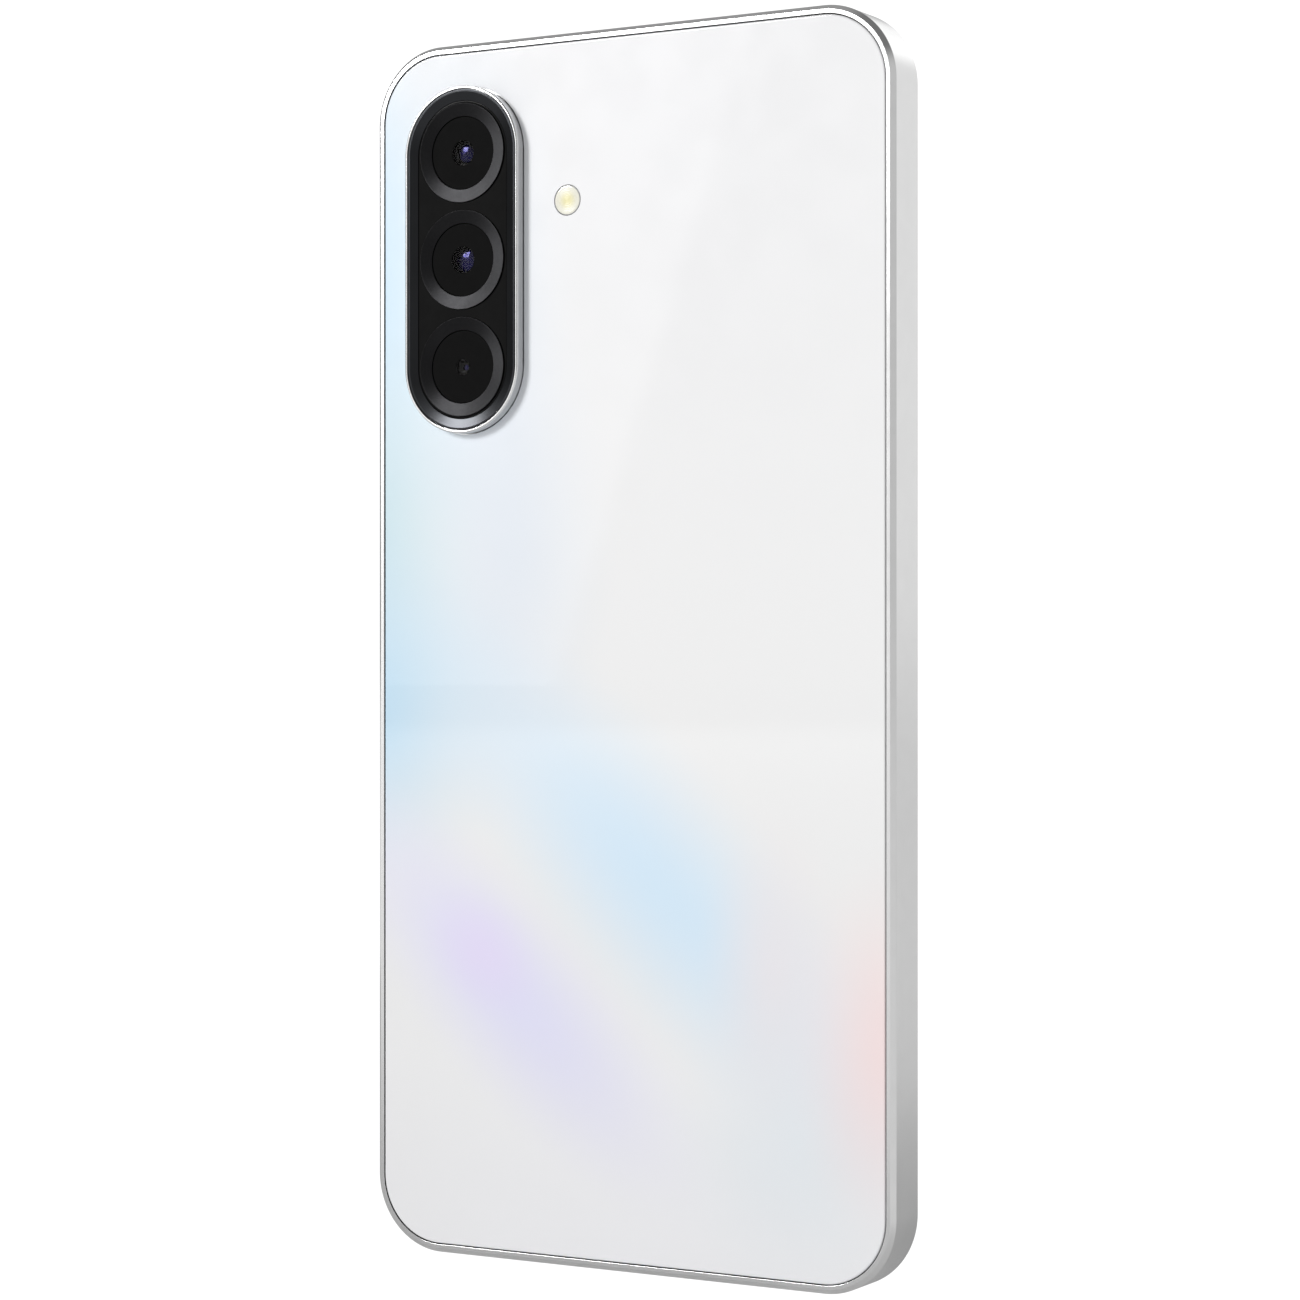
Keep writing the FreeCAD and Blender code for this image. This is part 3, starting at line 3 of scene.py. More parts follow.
import bmesh
import bpy
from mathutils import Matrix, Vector


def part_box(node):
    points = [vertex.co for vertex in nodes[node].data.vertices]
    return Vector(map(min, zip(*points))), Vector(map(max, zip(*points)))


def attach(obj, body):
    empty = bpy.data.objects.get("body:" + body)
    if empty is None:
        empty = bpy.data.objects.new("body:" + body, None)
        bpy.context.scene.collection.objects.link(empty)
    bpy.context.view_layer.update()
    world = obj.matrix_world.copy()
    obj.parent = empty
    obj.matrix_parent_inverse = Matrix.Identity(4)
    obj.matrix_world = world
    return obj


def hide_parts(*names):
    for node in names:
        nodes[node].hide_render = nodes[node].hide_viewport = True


# A smartphone standing on its bottom edge: +Z along its length, display on -Y, cameras on +Y.
# Sizes are in millimetres, and MM turns them into metres when a mesh is made.

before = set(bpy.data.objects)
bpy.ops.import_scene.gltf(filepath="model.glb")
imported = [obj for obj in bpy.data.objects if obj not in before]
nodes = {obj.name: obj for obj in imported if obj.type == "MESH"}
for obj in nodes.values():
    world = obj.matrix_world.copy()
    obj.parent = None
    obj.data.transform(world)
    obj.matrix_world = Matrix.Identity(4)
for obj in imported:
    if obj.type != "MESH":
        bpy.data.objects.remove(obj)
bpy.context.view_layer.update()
MM = 0.001
ROOT = "phone_body"
SHARP_ANGLE = 32
MERGE_DISTANCE, THINNEST_EDGE = 2e-7, 1e-8


# ---- outlines, lofts and pieces ------------------------------------------------------------

def box(node):
    """Lowest and highest corner of a CAD node, in millimetres."""
    low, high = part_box(node)
    return low / MM, high / MM


def rounded(cu, cv, width, height, radius):
    """The plan of a rounded rectangle: its middle, its size and its corner radius."""
    return cu, cv, width, height, radius


def pill(cu, cv, width, height):
    return cu, cv, width, height, min(width, height) / 2


def disc(cu, cv, radius):
    return cu, cv, 2 * radius, 2 * radius, radius


def inset(plan, distance):
    """The outline moved in by a distance, or out where it is negative."""
    cu, cv, width, height, radius = plan
    return cu, cv, width - 2 * distance, height - 2 * distance, max(radius - distance, 0.0)


def outline(plan, steps):
    """Points round a plan, with the same count at each of its four corners."""
    cu, cv, width, height, radius = plan
    reach_u, reach_v = width / 2 - radius, height / 2 - radius
    points = []
    for corner, (side_u, side_v) in enumerate(((1, 1), (-1, 1), (-1, -1), (1, -1))):
        for step in range(steps + 1):
            angle = (corner + step / steps) * math.pi / 2
            points.append((cu + side_u * reach_u + radius * math.cos(angle),
                           cv + side_v * reach_v + radius * math.sin(angle)))
    return points


def backward(u, v, w):
    """A plan across the phone's back, with depth along +Y."""
    return u, w, v


def sideways(u, v, w):
    """A plan on the phone's long side, with depth along +X."""
    return w, u, v


def endwise(u, v, w):
    """A plan on the phone's end, with depth along +Z."""
    return u, v, w


def soften(section, closed=False, steps=5, hold=0.06):
    """Round the corners of a section of (inset, depth, radius, finish) points.

    A point close behind each round corner keeps the flat beside it flat in shading."""
    points = []
    count = len(section)
    room_needed = 3 * hold
    for k, (x, y, radius, finish) in enumerate(section):
        before, after = section[k - 1], section[(k + 1) % count]
        if not radius or (not closed and k in (0, count - 1)):
            points.append((x, y, finish))
            continue
        corner = Vector((x, y))
        back, onward = Vector(before[:2]) - corner, Vector(after[:2]) - corner
        half = back.angle(onward) / 2
        reach = radius / math.tan(half)
        room_back, room_on = back.length - reach, onward.length - reach
        back.normalize()
        onward.normalize()
        centre = corner + (back + onward).normalized() * (radius / math.sin(half))
        start, end = corner + back * reach - centre, corner + onward * reach - centre
        if room_back > room_needed:
            points.append((*(centre + start + back * hold), before[3]))
        for step in range(steps + 1):
            spoke = start.slerp(end, step / steps).normalized() * radius
            points.append((*(centre + spoke), finish))
        if room_on > room_needed:
            points.append((*(centre + end + onward * hold), finish))
    return points


def loft(shape, rings, place, steps=16, closed=False):
    """Skin a run of (plan, depth, finish) rings, capped at both ends unless it is closed."""
    made = [[shape.verts.new(Vector(place(u, v, depth)) * MM) for u, v in outline(plan, steps)]
            for plan, depth, _ in rings]
    pairs = list(zip(made, made[1:]))
    if closed:
        pairs.append((made[-1], made[0]))
    for (lower, upper), (_, _, finish) in zip(pairs, rings):
        for k in range(len(lower)):
            following = (k + 1) % len(lower)
            face = shape.faces.new((lower[k], lower[following], upper[following], upper[k]))
            face.material_index = finish
    if not closed:
        for ring, (_, _, finish) in ((made[0], rings[0]), (made[-1], rings[-1])):
            shape.faces.new(ring).material_index = finish


def sweep(shape, plan, section, place, steps=16, closed=False):
    """Carry a section of (inset, depth, finish) points round one plan."""
    loft(shape, [(inset(plan, across), depth, finish) for across, depth, finish in section],
         place, steps, closed)


def turn(shape, centre, section, steps=16, closed=False):
    """Turn a section of (radius, depth, finish) points about an axis along Y."""
    loft(shape, [(disc(*centre, radius), depth, finish) for radius, depth, finish in section],
         backward, steps, closed)


def settle(shape, name):
    """Close up the shape, face it outwards and give back its mesh."""
    bmesh.ops.remove_doubles(shape, verts=shape.verts, dist=MERGE_DISTANCE)
    bmesh.ops.dissolve_degenerate(shape, edges=shape.edges, dist=THINNEST_EDGE)
    bmesh.ops.recalc_face_normals(shape, faces=shape.faces)
    mesh = bpy.data.meshes.new(name)
    shape.to_mesh(mesh)
    shape.free()
    return mesh


def cut(mesh, groups, looks):
    """Take groups of cutters out of a mesh. The cutters in one group don't touch each other."""
    for look in looks:
        mesh.materials.append(look)
    target = bpy.data.objects.new("target", mesh)
    bpy.context.scene.collection.objects.link(target)
    tools = []
    for group in groups:
        tool = bpy.data.objects.new("tool", settle(group, "tool"))
        bpy.context.scene.collection.objects.link(tool)
        tools.append(tool)
        boolean = target.modifiers.new("cut", "BOOLEAN")
        boolean.operation = "DIFFERENCE"
        boolean.solver = "EXACT"
        boolean.object = tool
    bpy.context.view_layer.update()
    done = bpy.data.meshes.new_from_object(
        target.evaluated_get(bpy.context.evaluated_depsgraph_get()))
    for thing in [target, *tools]:
        bpy.data.objects.remove(thing)
    return done


def piece(name, mesh, looks, body=ROOT, stands_for=()):
    """Make one named piece of the phone from a shape, or from a mesh that has its materials."""
    if isinstance(mesh, bmesh.types.BMesh):
        mesh = settle(mesh, name)
    mesh.name = name
    if not mesh.materials:
        for look in looks:
            mesh.materials.append(look)
    mesh.shade_smooth()
    mesh.set_sharp_from_angle(angle=math.radians(SHARP_ANGLE))
    made = bpy.data.objects.new(name, mesh)
    bpy.context.scene.collection.objects.link(made)
    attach(made, body)
    if stands_for:
        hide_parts(*stands_for)
    return made


# ---- materials -----------------------------------------------------------------------------

def tone(red, green, blue):
    """A display colour, 0 to 255, as a linear one by the sRGB curve."""
    def linear(level):
        level /= 255
        return level / 12.92 if level <= 0.04045 else ((level + 0.055) / 1.055) ** 2.4
    return linear(red), linear(green), linear(blue), 1.0


def grey(level):
    return tone(level, level, level)


class Finish:
    """A procedural material on the Principled shader, in object coordinates."""

    def __init__(self, name, **constants):
        self.material = bpy.data.materials.new(name)
        self.material.use_nodes = True
        self.tree = self.material.node_tree
        self.shader = self.tree.nodes["Principled BSDF"]
        self.place = self.add("ShaderNodeTexCoord").outputs["Object"]
        for key, value in constants.items():
            self.put(self.shader, key.replace("_", " "), value)

    @staticmethod
    def put(node, key, value):
        socket = node.inputs[key]
        if isinstance(value, bpy.types.NodeSocket):
            socket.id_data.links.new(value, socket)
        else:
            socket.default_value = value

    def add(self, kind, inputs=None, **settings):
        node = self.tree.nodes.new(kind)
        for key, value in settings.items():
            setattr(node, key, value)
        for key, value in (inputs or {}).items():
            self.put(node, key, value)
        return node

    def math(self, operation, a, b=0.0):
        return self.add("ShaderNodeMath", {0: a, 1: b}, operation=operation).outputs[0]

    def vector(self, operation, a, b=(0, 0, 0)):
        return self.add("ShaderNodeVectorMath", {0: a, 1: b}, operation=operation)

    def axes(self, source=None):
        split = self.add("ShaderNodeSeparateXYZ", {0: source or self.place})
        return split.outputs

    def spread(self, value, low, high, to_low=0.0, to_high=1.0):
        """A value moved smoothly from one range to another, held at the ends."""
        inputs = {"Value": value, "From Min": low, "From Max": high, "To Min": to_low,
                  "To Max": to_high}
        node = self.add("ShaderNodeMapRange", inputs, interpolation_type="SMOOTHSTEP")
        return node.outputs["Result"]

    def noise(self, size, detail=2.0, stretch=(1, 1, 1), low=0.0, high=1.0):
        """Noise with features of about a size in millimetres, spread between two levels."""
        place = self.vector("MULTIPLY", self.place, stretch).outputs[0]
        inputs = {"Vector": place, "Scale": 1 / (size * MM), "Detail": detail}
        grain = self.add("ShaderNodeTexNoise", inputs).outputs[0]
        usual_low, usual_high = 0.3, 0.7
        return self.spread(grain, usual_low, usual_high, low, high)

    def mix(self, share, a, b):
        node = self.add("ShaderNodeMix", {0: share, 6: a, 7: b}, data_type="RGBA")
        return node.outputs[2]

    def bump(self, height, depth):
        """Relief of a depth in millimetres."""
        inputs = {"Height": height, "Distance": depth * MM, "Strength": 1.0}
        self.put(self.shader, "Normal", self.add("ShaderNodeBump", inputs).outputs[0])
        return self

    def colour(self, value):
        self.put(self.shader, "Base Color", value)
        return self

    def rough(self, value):
        self.put(self.shader, "Roughness", value)
        return self


def plain_finish(name, light, dark, size, rough, grain=0.0, stretch=(1, 1, 1), **constants):
    """Two close tones, a roughness range and a grain, all from noise of one feature size."""
    made = Finish(name, **constants)
    made.colour(made.mix(made.noise(size * 4, 3.0, stretch), dark, light))
    made.rough(made.noise(size * 9, 2.0, stretch, *rough))
    if grain:
        made.bump(made.noise(size, 3.0, stretch), grain)
    return made.material


def metal(name, light, dark, size, rough, grain=0.0, stretch=(1, 1, 1), **constants):
    return plain_finish(name, light, dark, size, rough, grain, stretch, Metallic=1.0, **constants)


def blob(made, centre, reach, lean=0.0):
    """A soft mask on the rear glass: 1 at its centre, 0 at its edge."""
    inputs = {"Vector": made.place, "Location": (centre[0] * MM, 0, centre[1] * MM),
              "Rotation": (0, math.radians(lean), 0),
              "Scale": (reach[0] * MM, 1.0, reach[1] * MM)}
    local = made.add("ShaderNodeMapping", inputs, vector_type="TEXTURE").outputs[0]
    x, _, z = made.axes(local)
    flat = made.add("ShaderNodeCombineXYZ", {0: x, 2: z}).outputs[0]
    far = made.vector("LENGTH", flat).outputs["Value"]
    return made.spread(far, 0.0, 1.0, 1.0, 0.0)


# The pearl's own colour and its patches: blue, violet and coral tints, with a painted light at the
# bottom and a painted shade at the top. Each has its centre (x, z), reach, lean in degrees,
# display colour and strength.
PEARL = (238, 238, 238)
PEARL_TINTS_AND_PAINTED_LIGHT = [
    # painted light: the bottom of the glass made lighter
    ((0, 0), (90, 50), 0, (247, 247, 250), 0.8),
    # painted shade: the top of the glass made darker
    ((0, 165), (90, 100), 0, (230, 230, 232), 0.8),
    ((30, 128), (24, 48), 0, (222, 235, 247), 0.9),
    ((40, 132), (12, 44), 0, (196, 226, 244), 0.8),
    ((18, 94), (18, 40), 0, (218, 226, 236), 0.75),
    ((42, 98), (22, 34), 0, (196, 222, 230), 1.0),
    ((42, 74), (30, 28), 0, (190, 222, 242), 1.0),
    ((-5, 51), (58, 18), -42, (210, 233, 250), 0.95),
    ((-26, 18), (24, 22), 0, (226, 234, 240), 0.6),
    ((18, 36), (44, 15), -42, (226, 225, 250), 0.95),
    ((22, 41), (12, 9), -42, (230, 220, 250), 0.8),
    ((-22, 40), (12, 24), 0, (238, 230, 232), 0.7),
    ((-38, 31), (15, 27), 0, (248, 222, 221), 0.8),
]


def pearl_glass():
    """Painted rear glass: a pale pearl that turns blue, violet and coral in soft patches, with a
    painted light at its bottom and a painted shade at its top.
    """
    made = Finish("white_glass", Coat_Weight=1.0, Coat_Roughness=0.0, Coat_IOR=1.5)
    colour = tone(*PEARL)
    # The tints, and the painted light and shade, are laid on one by one.
    for centre, reach, lean, shade, strength in PEARL_TINTS_AND_PAINTED_LIGHT:
        mask = made.math("MULTIPLY", blob(made, centre, reach, lean), strength)
        colour = made.mix(mask, colour, tone(*shade))
    flakes = made.noise(0.09, 1.0, low=0.985, high=1.0)
    made.colour(made.vector("MULTIPLY", colour, flakes).outputs[0])
    made.rough(made.noise(6, 2.0, low=0.42, high=0.5))
    return made.material


def turned_finish(name, light, dark, rough, anisotropy, rotation):
    """Brushed metal, its grain at one angle to circles about the middle of the piece."""
    made = Finish(name, Metallic=1.0, Anisotropic=anisotropy, Anisotropic_Rotation=rotation)
    tangent = made.add("ShaderNodeTangent", direction_type="RADIAL", axis="Y")
    made.put(made.shader, "Tangent", tangent.outputs[0])
    made.colour(made.mix(made.noise(0.3, 2.0), dark, light))
    made.rough(made.noise(1.5, 2.0, low=rough[0], high=rough[1]))
    return made.material


def board_finish():
    """Solder mask over copper: tracks, ground pour and plated holes."""
    made = Finish("board_green", Coat_Weight=0.4, Coat_Roughness=0.2)
    lane_pitch, hole_pitch = 0.8 * MM, 2.4 * MM
    hole_radius, hole_blur = 0.09, 0.03
    lanes = made.math("PINGPONG", made.axes()[0], lane_pitch)
    track = made.spread(lanes, 0.25 * MM, 0.32 * MM)
    runs = made.noise(5, 1.0, (1, 1, 0.3))
    tracks = made.math("MULTIPLY", track, made.spread(runs, 0.45, 0.55))
    cells = made.add("ShaderNodeTexVoronoi", {"Vector": made.place, "Scale": 1 / hole_pitch})
    holes = made.spread(cells.outputs["Distance"], hole_radius, hole_radius + hole_blur, 1.0, 0.0)
    mask = made.mix(tracks, tone(18, 62, 44), tone(34, 92, 62))
    made.colour(made.mix(holes, mask, tone(196, 168, 96)))
    made.put(made.shader, "Metallic", holes)
    made.rough(made.noise(2, 2.0, low=0.3, high=0.42))
    return made.bump(made.math("ADD", tracks, holes), 0.02).material


def mesh_finish():
    """Woven acoustic mesh: round holes in a close square pitch."""
    made = Finish("mesh_black", Metallic=0.6)
    x, y, z = made.axes()
    pitch = 0.14 * MM
    across = made.math("PINGPONG", x, pitch)
    along = made.math("PINGPONG", made.math("ADD", y, z), pitch)
    hole = made.math("MULTIPLY", made.spread(across, 0.3 * pitch, 0.6 * pitch),
                     made.spread(along, 0.3 * pitch, 0.6 * pitch))
    made.colour(made.mix(hole, grey(70), grey(8)))
    made.rough(made.noise(0.5, 2.0, low=0.4, high=0.55))
    return made.bump(hole, 0.05).material


def flex_finish():
    """Amber polyimide with copper tracks showing through."""
    made = Finish("flex_amber", Coat_Weight=0.5, Coat_Roughness=0.15)
    lane_pitch = 0.4 * MM
    lanes = made.math("PINGPONG", made.axes()[0], lane_pitch)
    track = made.spread(lanes, 0.4 * lane_pitch, 0.5 * lane_pitch)
    made.colour(made.mix(track, tone(150, 84, 24), tone(190, 116, 44)))
    made.rough(made.noise(1, 2.0, low=0.25, high=0.4))
    return made.bump(track, 0.02).material


def flash_finish():
    """The frosted flash window, with the warm phosphor showing softly in its middle."""
    made = Finish("flash_glass", Coat_Weight=1.0, Coat_Roughness=0.06)
    low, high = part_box("flash_lens")
    middle = (low + high) / 2
    offset = made.vector("SUBTRACT", made.place, tuple(middle)).outputs[0]
    x, _, z = made.axes(offset)
    radius = made.vector("LENGTH", made.add("ShaderNodeCombineXYZ", {0: x, 2: z}).outputs[0])
    far = radius.outputs["Value"]
    ring_pitch = 0.11 * MM
    glow = made.spread(far, 0.2 * MM, 1.6 * MM, 1.0, 0.0)
    rim = made.spread(far, 1.8 * MM, 1.92 * MM)
    surround = made.mix(glow, tone(226, 224, 208), tone(230, 222, 164))
    made.colour(made.mix(rim, surround, tone(176, 176, 174)))
    rings = made.math("PINGPONG", far, ring_pitch)
    made.rough(made.noise(0.4, 2.0, low=0.25, high=0.4))
    return made.bump(made.math("DIVIDE", rings, ring_pitch), 0.015).material


def lens_finish():
    """A coated front element: almost black, with a painted reflection of its coating, violet to blue
    across its dome.
    """
    made = Finish("lens_glass", Coat_Weight=0.3, Coat_Roughness=0.0, Roughness=0.12)
    # Painted reflection: the coating's violet to blue, laid into the colour by how squarely the dome
    # faces the view.
    tilt = made.add("ShaderNodeLayerWeight", {"Blend": 0.35}).outputs["Facing"]
    painted_coating_reflection = made.mix(made.spread(tilt, 0.0, 0.6), tone(44, 38, 120), tone(8, 9, 26))
    made.colour(made.mix(made.noise(0.7, 1.0, low=0.0, high=0.4), painted_coating_reflection, tone(18, 24, 80)))
    made.put(made.shader, "Metallic", 0.5)
    return made.material


def clear_glass(name, ior, shade):
    """Clear glass with the faintest unevenness in its polish."""
    made = Finish(name, Transmission_Weight=1.0, IOR=ior)
    deeper = tuple(0.97 * level for level in shade[:3]) + (1.0,)
    made.colour(made.mix(made.noise(8, 2.0), shade, deeper))
    made.rough(made.noise(5, 2.0, low=0.0, high=0.004))
    return made.material


def panel_finish():
    """A display that is off: near black, with the faint grid of its cells."""
    made = Finish("panel_black", Specular_IOR_Level=0.08)
    x, _, z = made.axes()
    cell_pitch = 0.1 * MM
    grid = made.math("MAXIMUM", made.math("PINGPONG", x, cell_pitch),
                     made.math("PINGPONG", z, cell_pitch))
    cell = made.spread(grid, 0.8 * cell_pitch, cell_pitch)
    made.colour(made.mix(cell, tone(11, 11, 13), tone(9, 9, 11)))
    made.rough(made.noise(10, 2.0, low=0.2, high=0.26))
    return made.material


FINISHES = {
    "anodised": metal("anodised_frame", grey(231), grey(229), 0.5, (0.2, 0.23), 0.0001),
    "polished": metal("polished_edge", grey(232), grey(229), 0.6, (0.12, 0.15)),
    "gap": plain_finish("gap_shade", grey(12), grey(9), 0.3, (0.6, 0.7), Specular_IOR_Level=0.1),
    "bezel": metal("bezel_metal", grey(230), grey(226), 0.6, (0.14, 0.18)),
    "bevel": metal("dark_bevel", tone(48, 49, 51), tone(46, 47, 49), 0.8, (0.2, 0.24)),
    "ring": turned_finish("lens_ring", tone(36, 36, 37), tone(33, 33, 34), (0.33, 0.36), 0.85,
                          0.375),
    "plate": plain_finish("black_plate", grey(16), grey(13), 0.5, (0.08, 0.12),
                          Specular_IOR_Level=0.05),
    "glass": pearl_glass(),
    "lens": lens_finish(),
    # The windows' grey tint is a painted shade that darkens the inside of the cameras seen through
    # them.
    "window": clear_glass("window_glass", 1.15, grey(196)),
    "front": clear_glass("front_glass", 1.48, grey(250)),
    "barrel": plain_finish("lens_black", grey(12), grey(9), 0.15, (0.4, 0.5), 0.004,
                           Specular_IOR_Level=0.15),
    "print": plain_finish("black_print", grey(9), grey(7), 0.3, (0.06, 0.1),
                          Specular_IOR_Level=0.05),
    "flash": flash_finish(),
    "phosphor": plain_finish("flash_phosphor", tone(242, 214, 96), tone(224, 190, 70), 0.2,
                             (0.5, 0.7), 0.01),
    "panel": panel_finish(),
    "adhesive": plain_finish("adhesive", grey(40), grey(30), 0.3, (0.6, 0.75), 0.01),
    "copper": metal("copper_foil", tone(214, 138, 92), tone(184, 108, 68), 0.3, (0.25, 0.4),
                    0.004),
    "flex": flex_finish(),
    "board": board_finish(),
    "chip": plain_finish("chip_black", grey(46), grey(34), 0.12, (0.45, 0.6), 0.004),
    "steel": metal("steel", grey(208), grey(184), 0.15, (0.22, 0.36), 0.002, (1, 1, 0.08)),
    "cover": plain_finish("cover_plastic", grey(52), grey(42), 0.1, (0.5, 0.65), 0.01),
    "battery": plain_finish("battery_wrap", grey(64), grey(52), 0.6, (0.35, 0.5), 0.01),
    "tray": metal("tray_metal", grey(216), grey(206), 0.06, (0.28, 0.36), 0.001),
    "white_plastic": plain_finish("white_plastic", grey(232), grey(222), 0.2, (0.4, 0.5), 0.003),
    "magnet": metal("magnet", grey(150), grey(128), 0.2, (0.3, 0.45), 0.003),
    "membrane": plain_finish("membrane", tone(66, 58, 52), tone(50, 44, 40), 0.2, (0.5, 0.65),
                             0.01),
    "mesh": mesh_finish(),
    "cable": plain_finish("cable_black", grey(34), grey(26), 0.1, (0.45, 0.6), 0.006),
    "gold": metal("gold_plate", tone(240, 200, 120), tone(222, 178, 98), 0.1, (0.18, 0.28)),
    "seal": plain_finish("seal_rubber", tone(150, 66, 44), tone(132, 54, 36), 0.1, (0.6, 0.7),
                         0.006),
}

# The CAD nodes whose shape stays as it is, by the finish that they are given.
KEPT = {
    "adhesive": ["display_adhesive", "display_foam", "back_adhesive"],
    "panel": ["oled_panel"],
    "chip": ["fingerprint_sensor", "board_chips", "microphones", "image_sensor"],
    "flex": ["display_flex", "key_flex", "main_flex", "battery_board"],
    "tray": ["mid_plate"],
    "phosphor": ["flash_led"],
    "steel": ["key_domes", "sim_cage", "eject_rod", "eject_lever", "processor_shield",
              "power_shield", "radio_shield", "cover_screws", "motor_case", "motor_shaft",
              "vibration_rotor"],
    "board": ["main_board", "lower_board"],
    "cover": ["board_connectors", "upper_cover", "lower_cover", "speaker_box", "earpiece_case"],
    "copper": ["nfc_coil"],
    "battery": ["battery"],
    "cable": ["antenna_cable"],
    "barrel": ["main_camera_housing", "stabiliser_frame", "lens_carrier"],
    "magnet": ["speaker_magnet"],
    "membrane": ["speaker_diaphragm", "earpiece_diaphragm"],
    "mesh": ["acoustic_meshes"],
}
for finish, names in KEPT.items():
    for node in names:
        for place in nodes[node].material_slots:
            place.material = FINISHES[finish]


def finishes(*names):
    return [FINISHES[name] for name in names]


# ---- side frame ----------------------------------------------------------------------------

frame_low, frame_high = box("side_frame")
FRONT, BACK = frame_low.y, frame_high.y
TOP = frame_high.z
PHONE_CORNER = 10.05
PHONE = rounded(0, TOP / 2, frame_high.x - frame_low.x, TOP, PHONE_CORNER)
LIP, WALL, CHAMFER = 1.125, 3.0, 0.58
LIP_ROUND, CHAMFER_ROUND, SIDE_ROUND = 0.04, 0.05, 0.12
DISPLAY_LEDGE, BACK_LEDGE = -2.6, 3.0
BAND_STEPS = 32

# How far a cutter starts behind the inside of the wall, and how far it passes the surface.
BEHIND, PAST = 0.3, 0.2
KEY_FLANGE, KEY_SLOT_WIDTH, KEY_CLEARANCE = 0.45, 2.6, 0.1
SOCKET_MOUTH = 9.2, 3.52
SLOT_COUNT, SLOT_FIRST, SLOT_PITCH, SLOT_SIZE = 6, 14.9, 2.6, (1.9, 1.2)
MICROPHONE_RADIUS, BOTTOM_MICROPHONE, TOP_MICROPHONE = 0.45, (-12.25, -0.85), (20, -1.6)
SLIT_SIZE, SLIT_CORNER, SLIT_OFFSET, SLIT_BACK = (13.0, 0.73), 0.2, 0.165, -3.1
TRAY_X, PIN_X, HEAD_Y, CARD_Y = -20, -12.25, -0.75, -1.2
HEAD_RECESS, RECESS_DEPTH, CHANNEL_TOP = (17.8, 2.8), 1.95, 1.5
CARD_CHANNEL, CARD_CHANNEL_CORNER = (13.7, 1.5), 0.1
ROD_CHANNEL, ROD_CHANNEL_CORNER = (0.96, 0.96), 0.05


def add_opening(shape, plan, place, start, mouth, flare):
    """Add a cutter that opens out a little where it reaches the surface at its mouth."""
    away = math.copysign(1.0, mouth - start)
    section = [(0.0, start, 0), (0.0, mouth - away * flare, 0), (-flare, mouth, 0),
               (-flare - PAST, mouth + away * PAST, 0)]
    sweep(shape, plan, section, place, steps=10)


def make_frame():
    anodised, polished, dark = range(3)
    section = soften([
        (LIP, BACK, LIP_ROUND, anodised), (CHAMFER, BACK, CHAMFER_ROUND, polished),
        (0, BACK - CHAMFER, SIDE_ROUND, anodised), (0, FRONT + CHAMFER, SIDE_ROUND, polished),
        (CHAMFER, FRONT, CHAMFER_ROUND, anodised), (LIP, FRONT, LIP_ROUND, dark),
        (LIP, DISPLAY_LEDGE, 0, dark), (WALL, DISPLAY_LEDGE, 0, anodised),
        (WALL, BACK_LEDGE, 0, dark), (LIP, BACK_LEDGE, 0, dark)], closed=True)
    band = bmesh.new()
    sweep(band, PHONE, section, backward, steps=BAND_STEPS, closed=True)

    bottom_start, top_start = WALL + BEHIND, TOP - WALL - BEHIND
    first = bmesh.new()
    for key in ("power_key", "volume_key"):
        low, high = box(key)
        length = high.z - low.z - 2 * KEY_FLANGE + 2 * KEY_CLEARANCE
        slot = pill(0, (low.z + high.z) / 2, KEY_SLOT_WIDTH, length)
        add_opening(first, slot, sideways, frame_high.x - WALL - BEHIND, frame_high.x, 0.1)
    add_opening(first, pill(0, 0, *SOCKET_MOUTH), endwise, bottom_start, 0, 0.18)
    for k in range(SLOT_COUNT):
        slot = pill(SLOT_FIRST + SLOT_PITCH * k, 0, *SLOT_SIZE)
        add_opening(first, slot, endwise, bottom_start, 0, 0.1)
    add_opening(first, disc(*TOP_MICROPHONE, MICROPHONE_RADIUS), endwise, top_start, TOP, 0.06)
    add_opening(first, pill(TRAY_X, HEAD_Y, *HEAD_RECESS), endwise, TOP - RECESS_DEPTH, TOP, 0.08)
    slit = rounded(0, TOP - LIP + SLIT_OFFSET, *SLIT_SIZE, SLIT_CORNER)
    add_opening(first, slit, backward, SLIT_BACK, FRONT, 0.05)

    # The bottom microphone's hole is cut with the second group, which leaves its face whole.
    second = bmesh.new()
    add_opening(second, disc(*BOTTOM_MICROPHONE, MICROPHONE_RADIUS), endwise, bottom_start, 0, 0.06)
    for channel in (rounded(TRAY_X, CARD_Y, *CARD_CHANNEL, CARD_CHANNEL_CORNER),
                    rounded(PIN_X, CARD_Y, *ROD_CHANNEL, ROD_CHANNEL_CORNER)):
        add_opening(second, channel, endwise, top_start, TOP - CHANNEL_TOP, 0.02)
    looks = finishes("anodised", "polished", "gap")
    mesh = cut(settle(band, "side_frame"), [first, second], looks)
    piece("side_frame_band", mesh, looks, stands_for=["side_frame"])


make_frame()


# ---- glass ---------------------------------------------------------------------------------

def middle_of(low, high):
    """The middle of a box across the phone's back."""
    return (low.x + high.x) / 2, (low.z + high.z) / 2


island_low, island_high = box("camera_bezel")
FLANGE = 1.0  # the bezel reaches this far out below the back glass
ISLAND_TOP = island_high.y
ISLAND = pill(*middle_of(island_low, island_high),
              island_high.x - island_low.x - 2 * FLANGE, island_high.z - island_low.z - 2 * FLANGE)
FLASH = middle_of(*box("flash_lens"))
GLASS = inset(PHONE, 1.225)
GLASS_EDGE, GLASS_FOOT = 0.28, 0.05
GLASS_STEPS = 32

# The black print behind the front glass, round the lit part of the display.
SIDE_BORDER, END_BORDER, SCREEN_RISE, SCREEN_CORNER = 2.75, 3.2, 0.45, 7.0
MASK_INSET, HOLE_RADIUS, HOLE_PRINT_RADIUS = 0.15, 1.35, 2.3
PRINT_GAP = 0.01


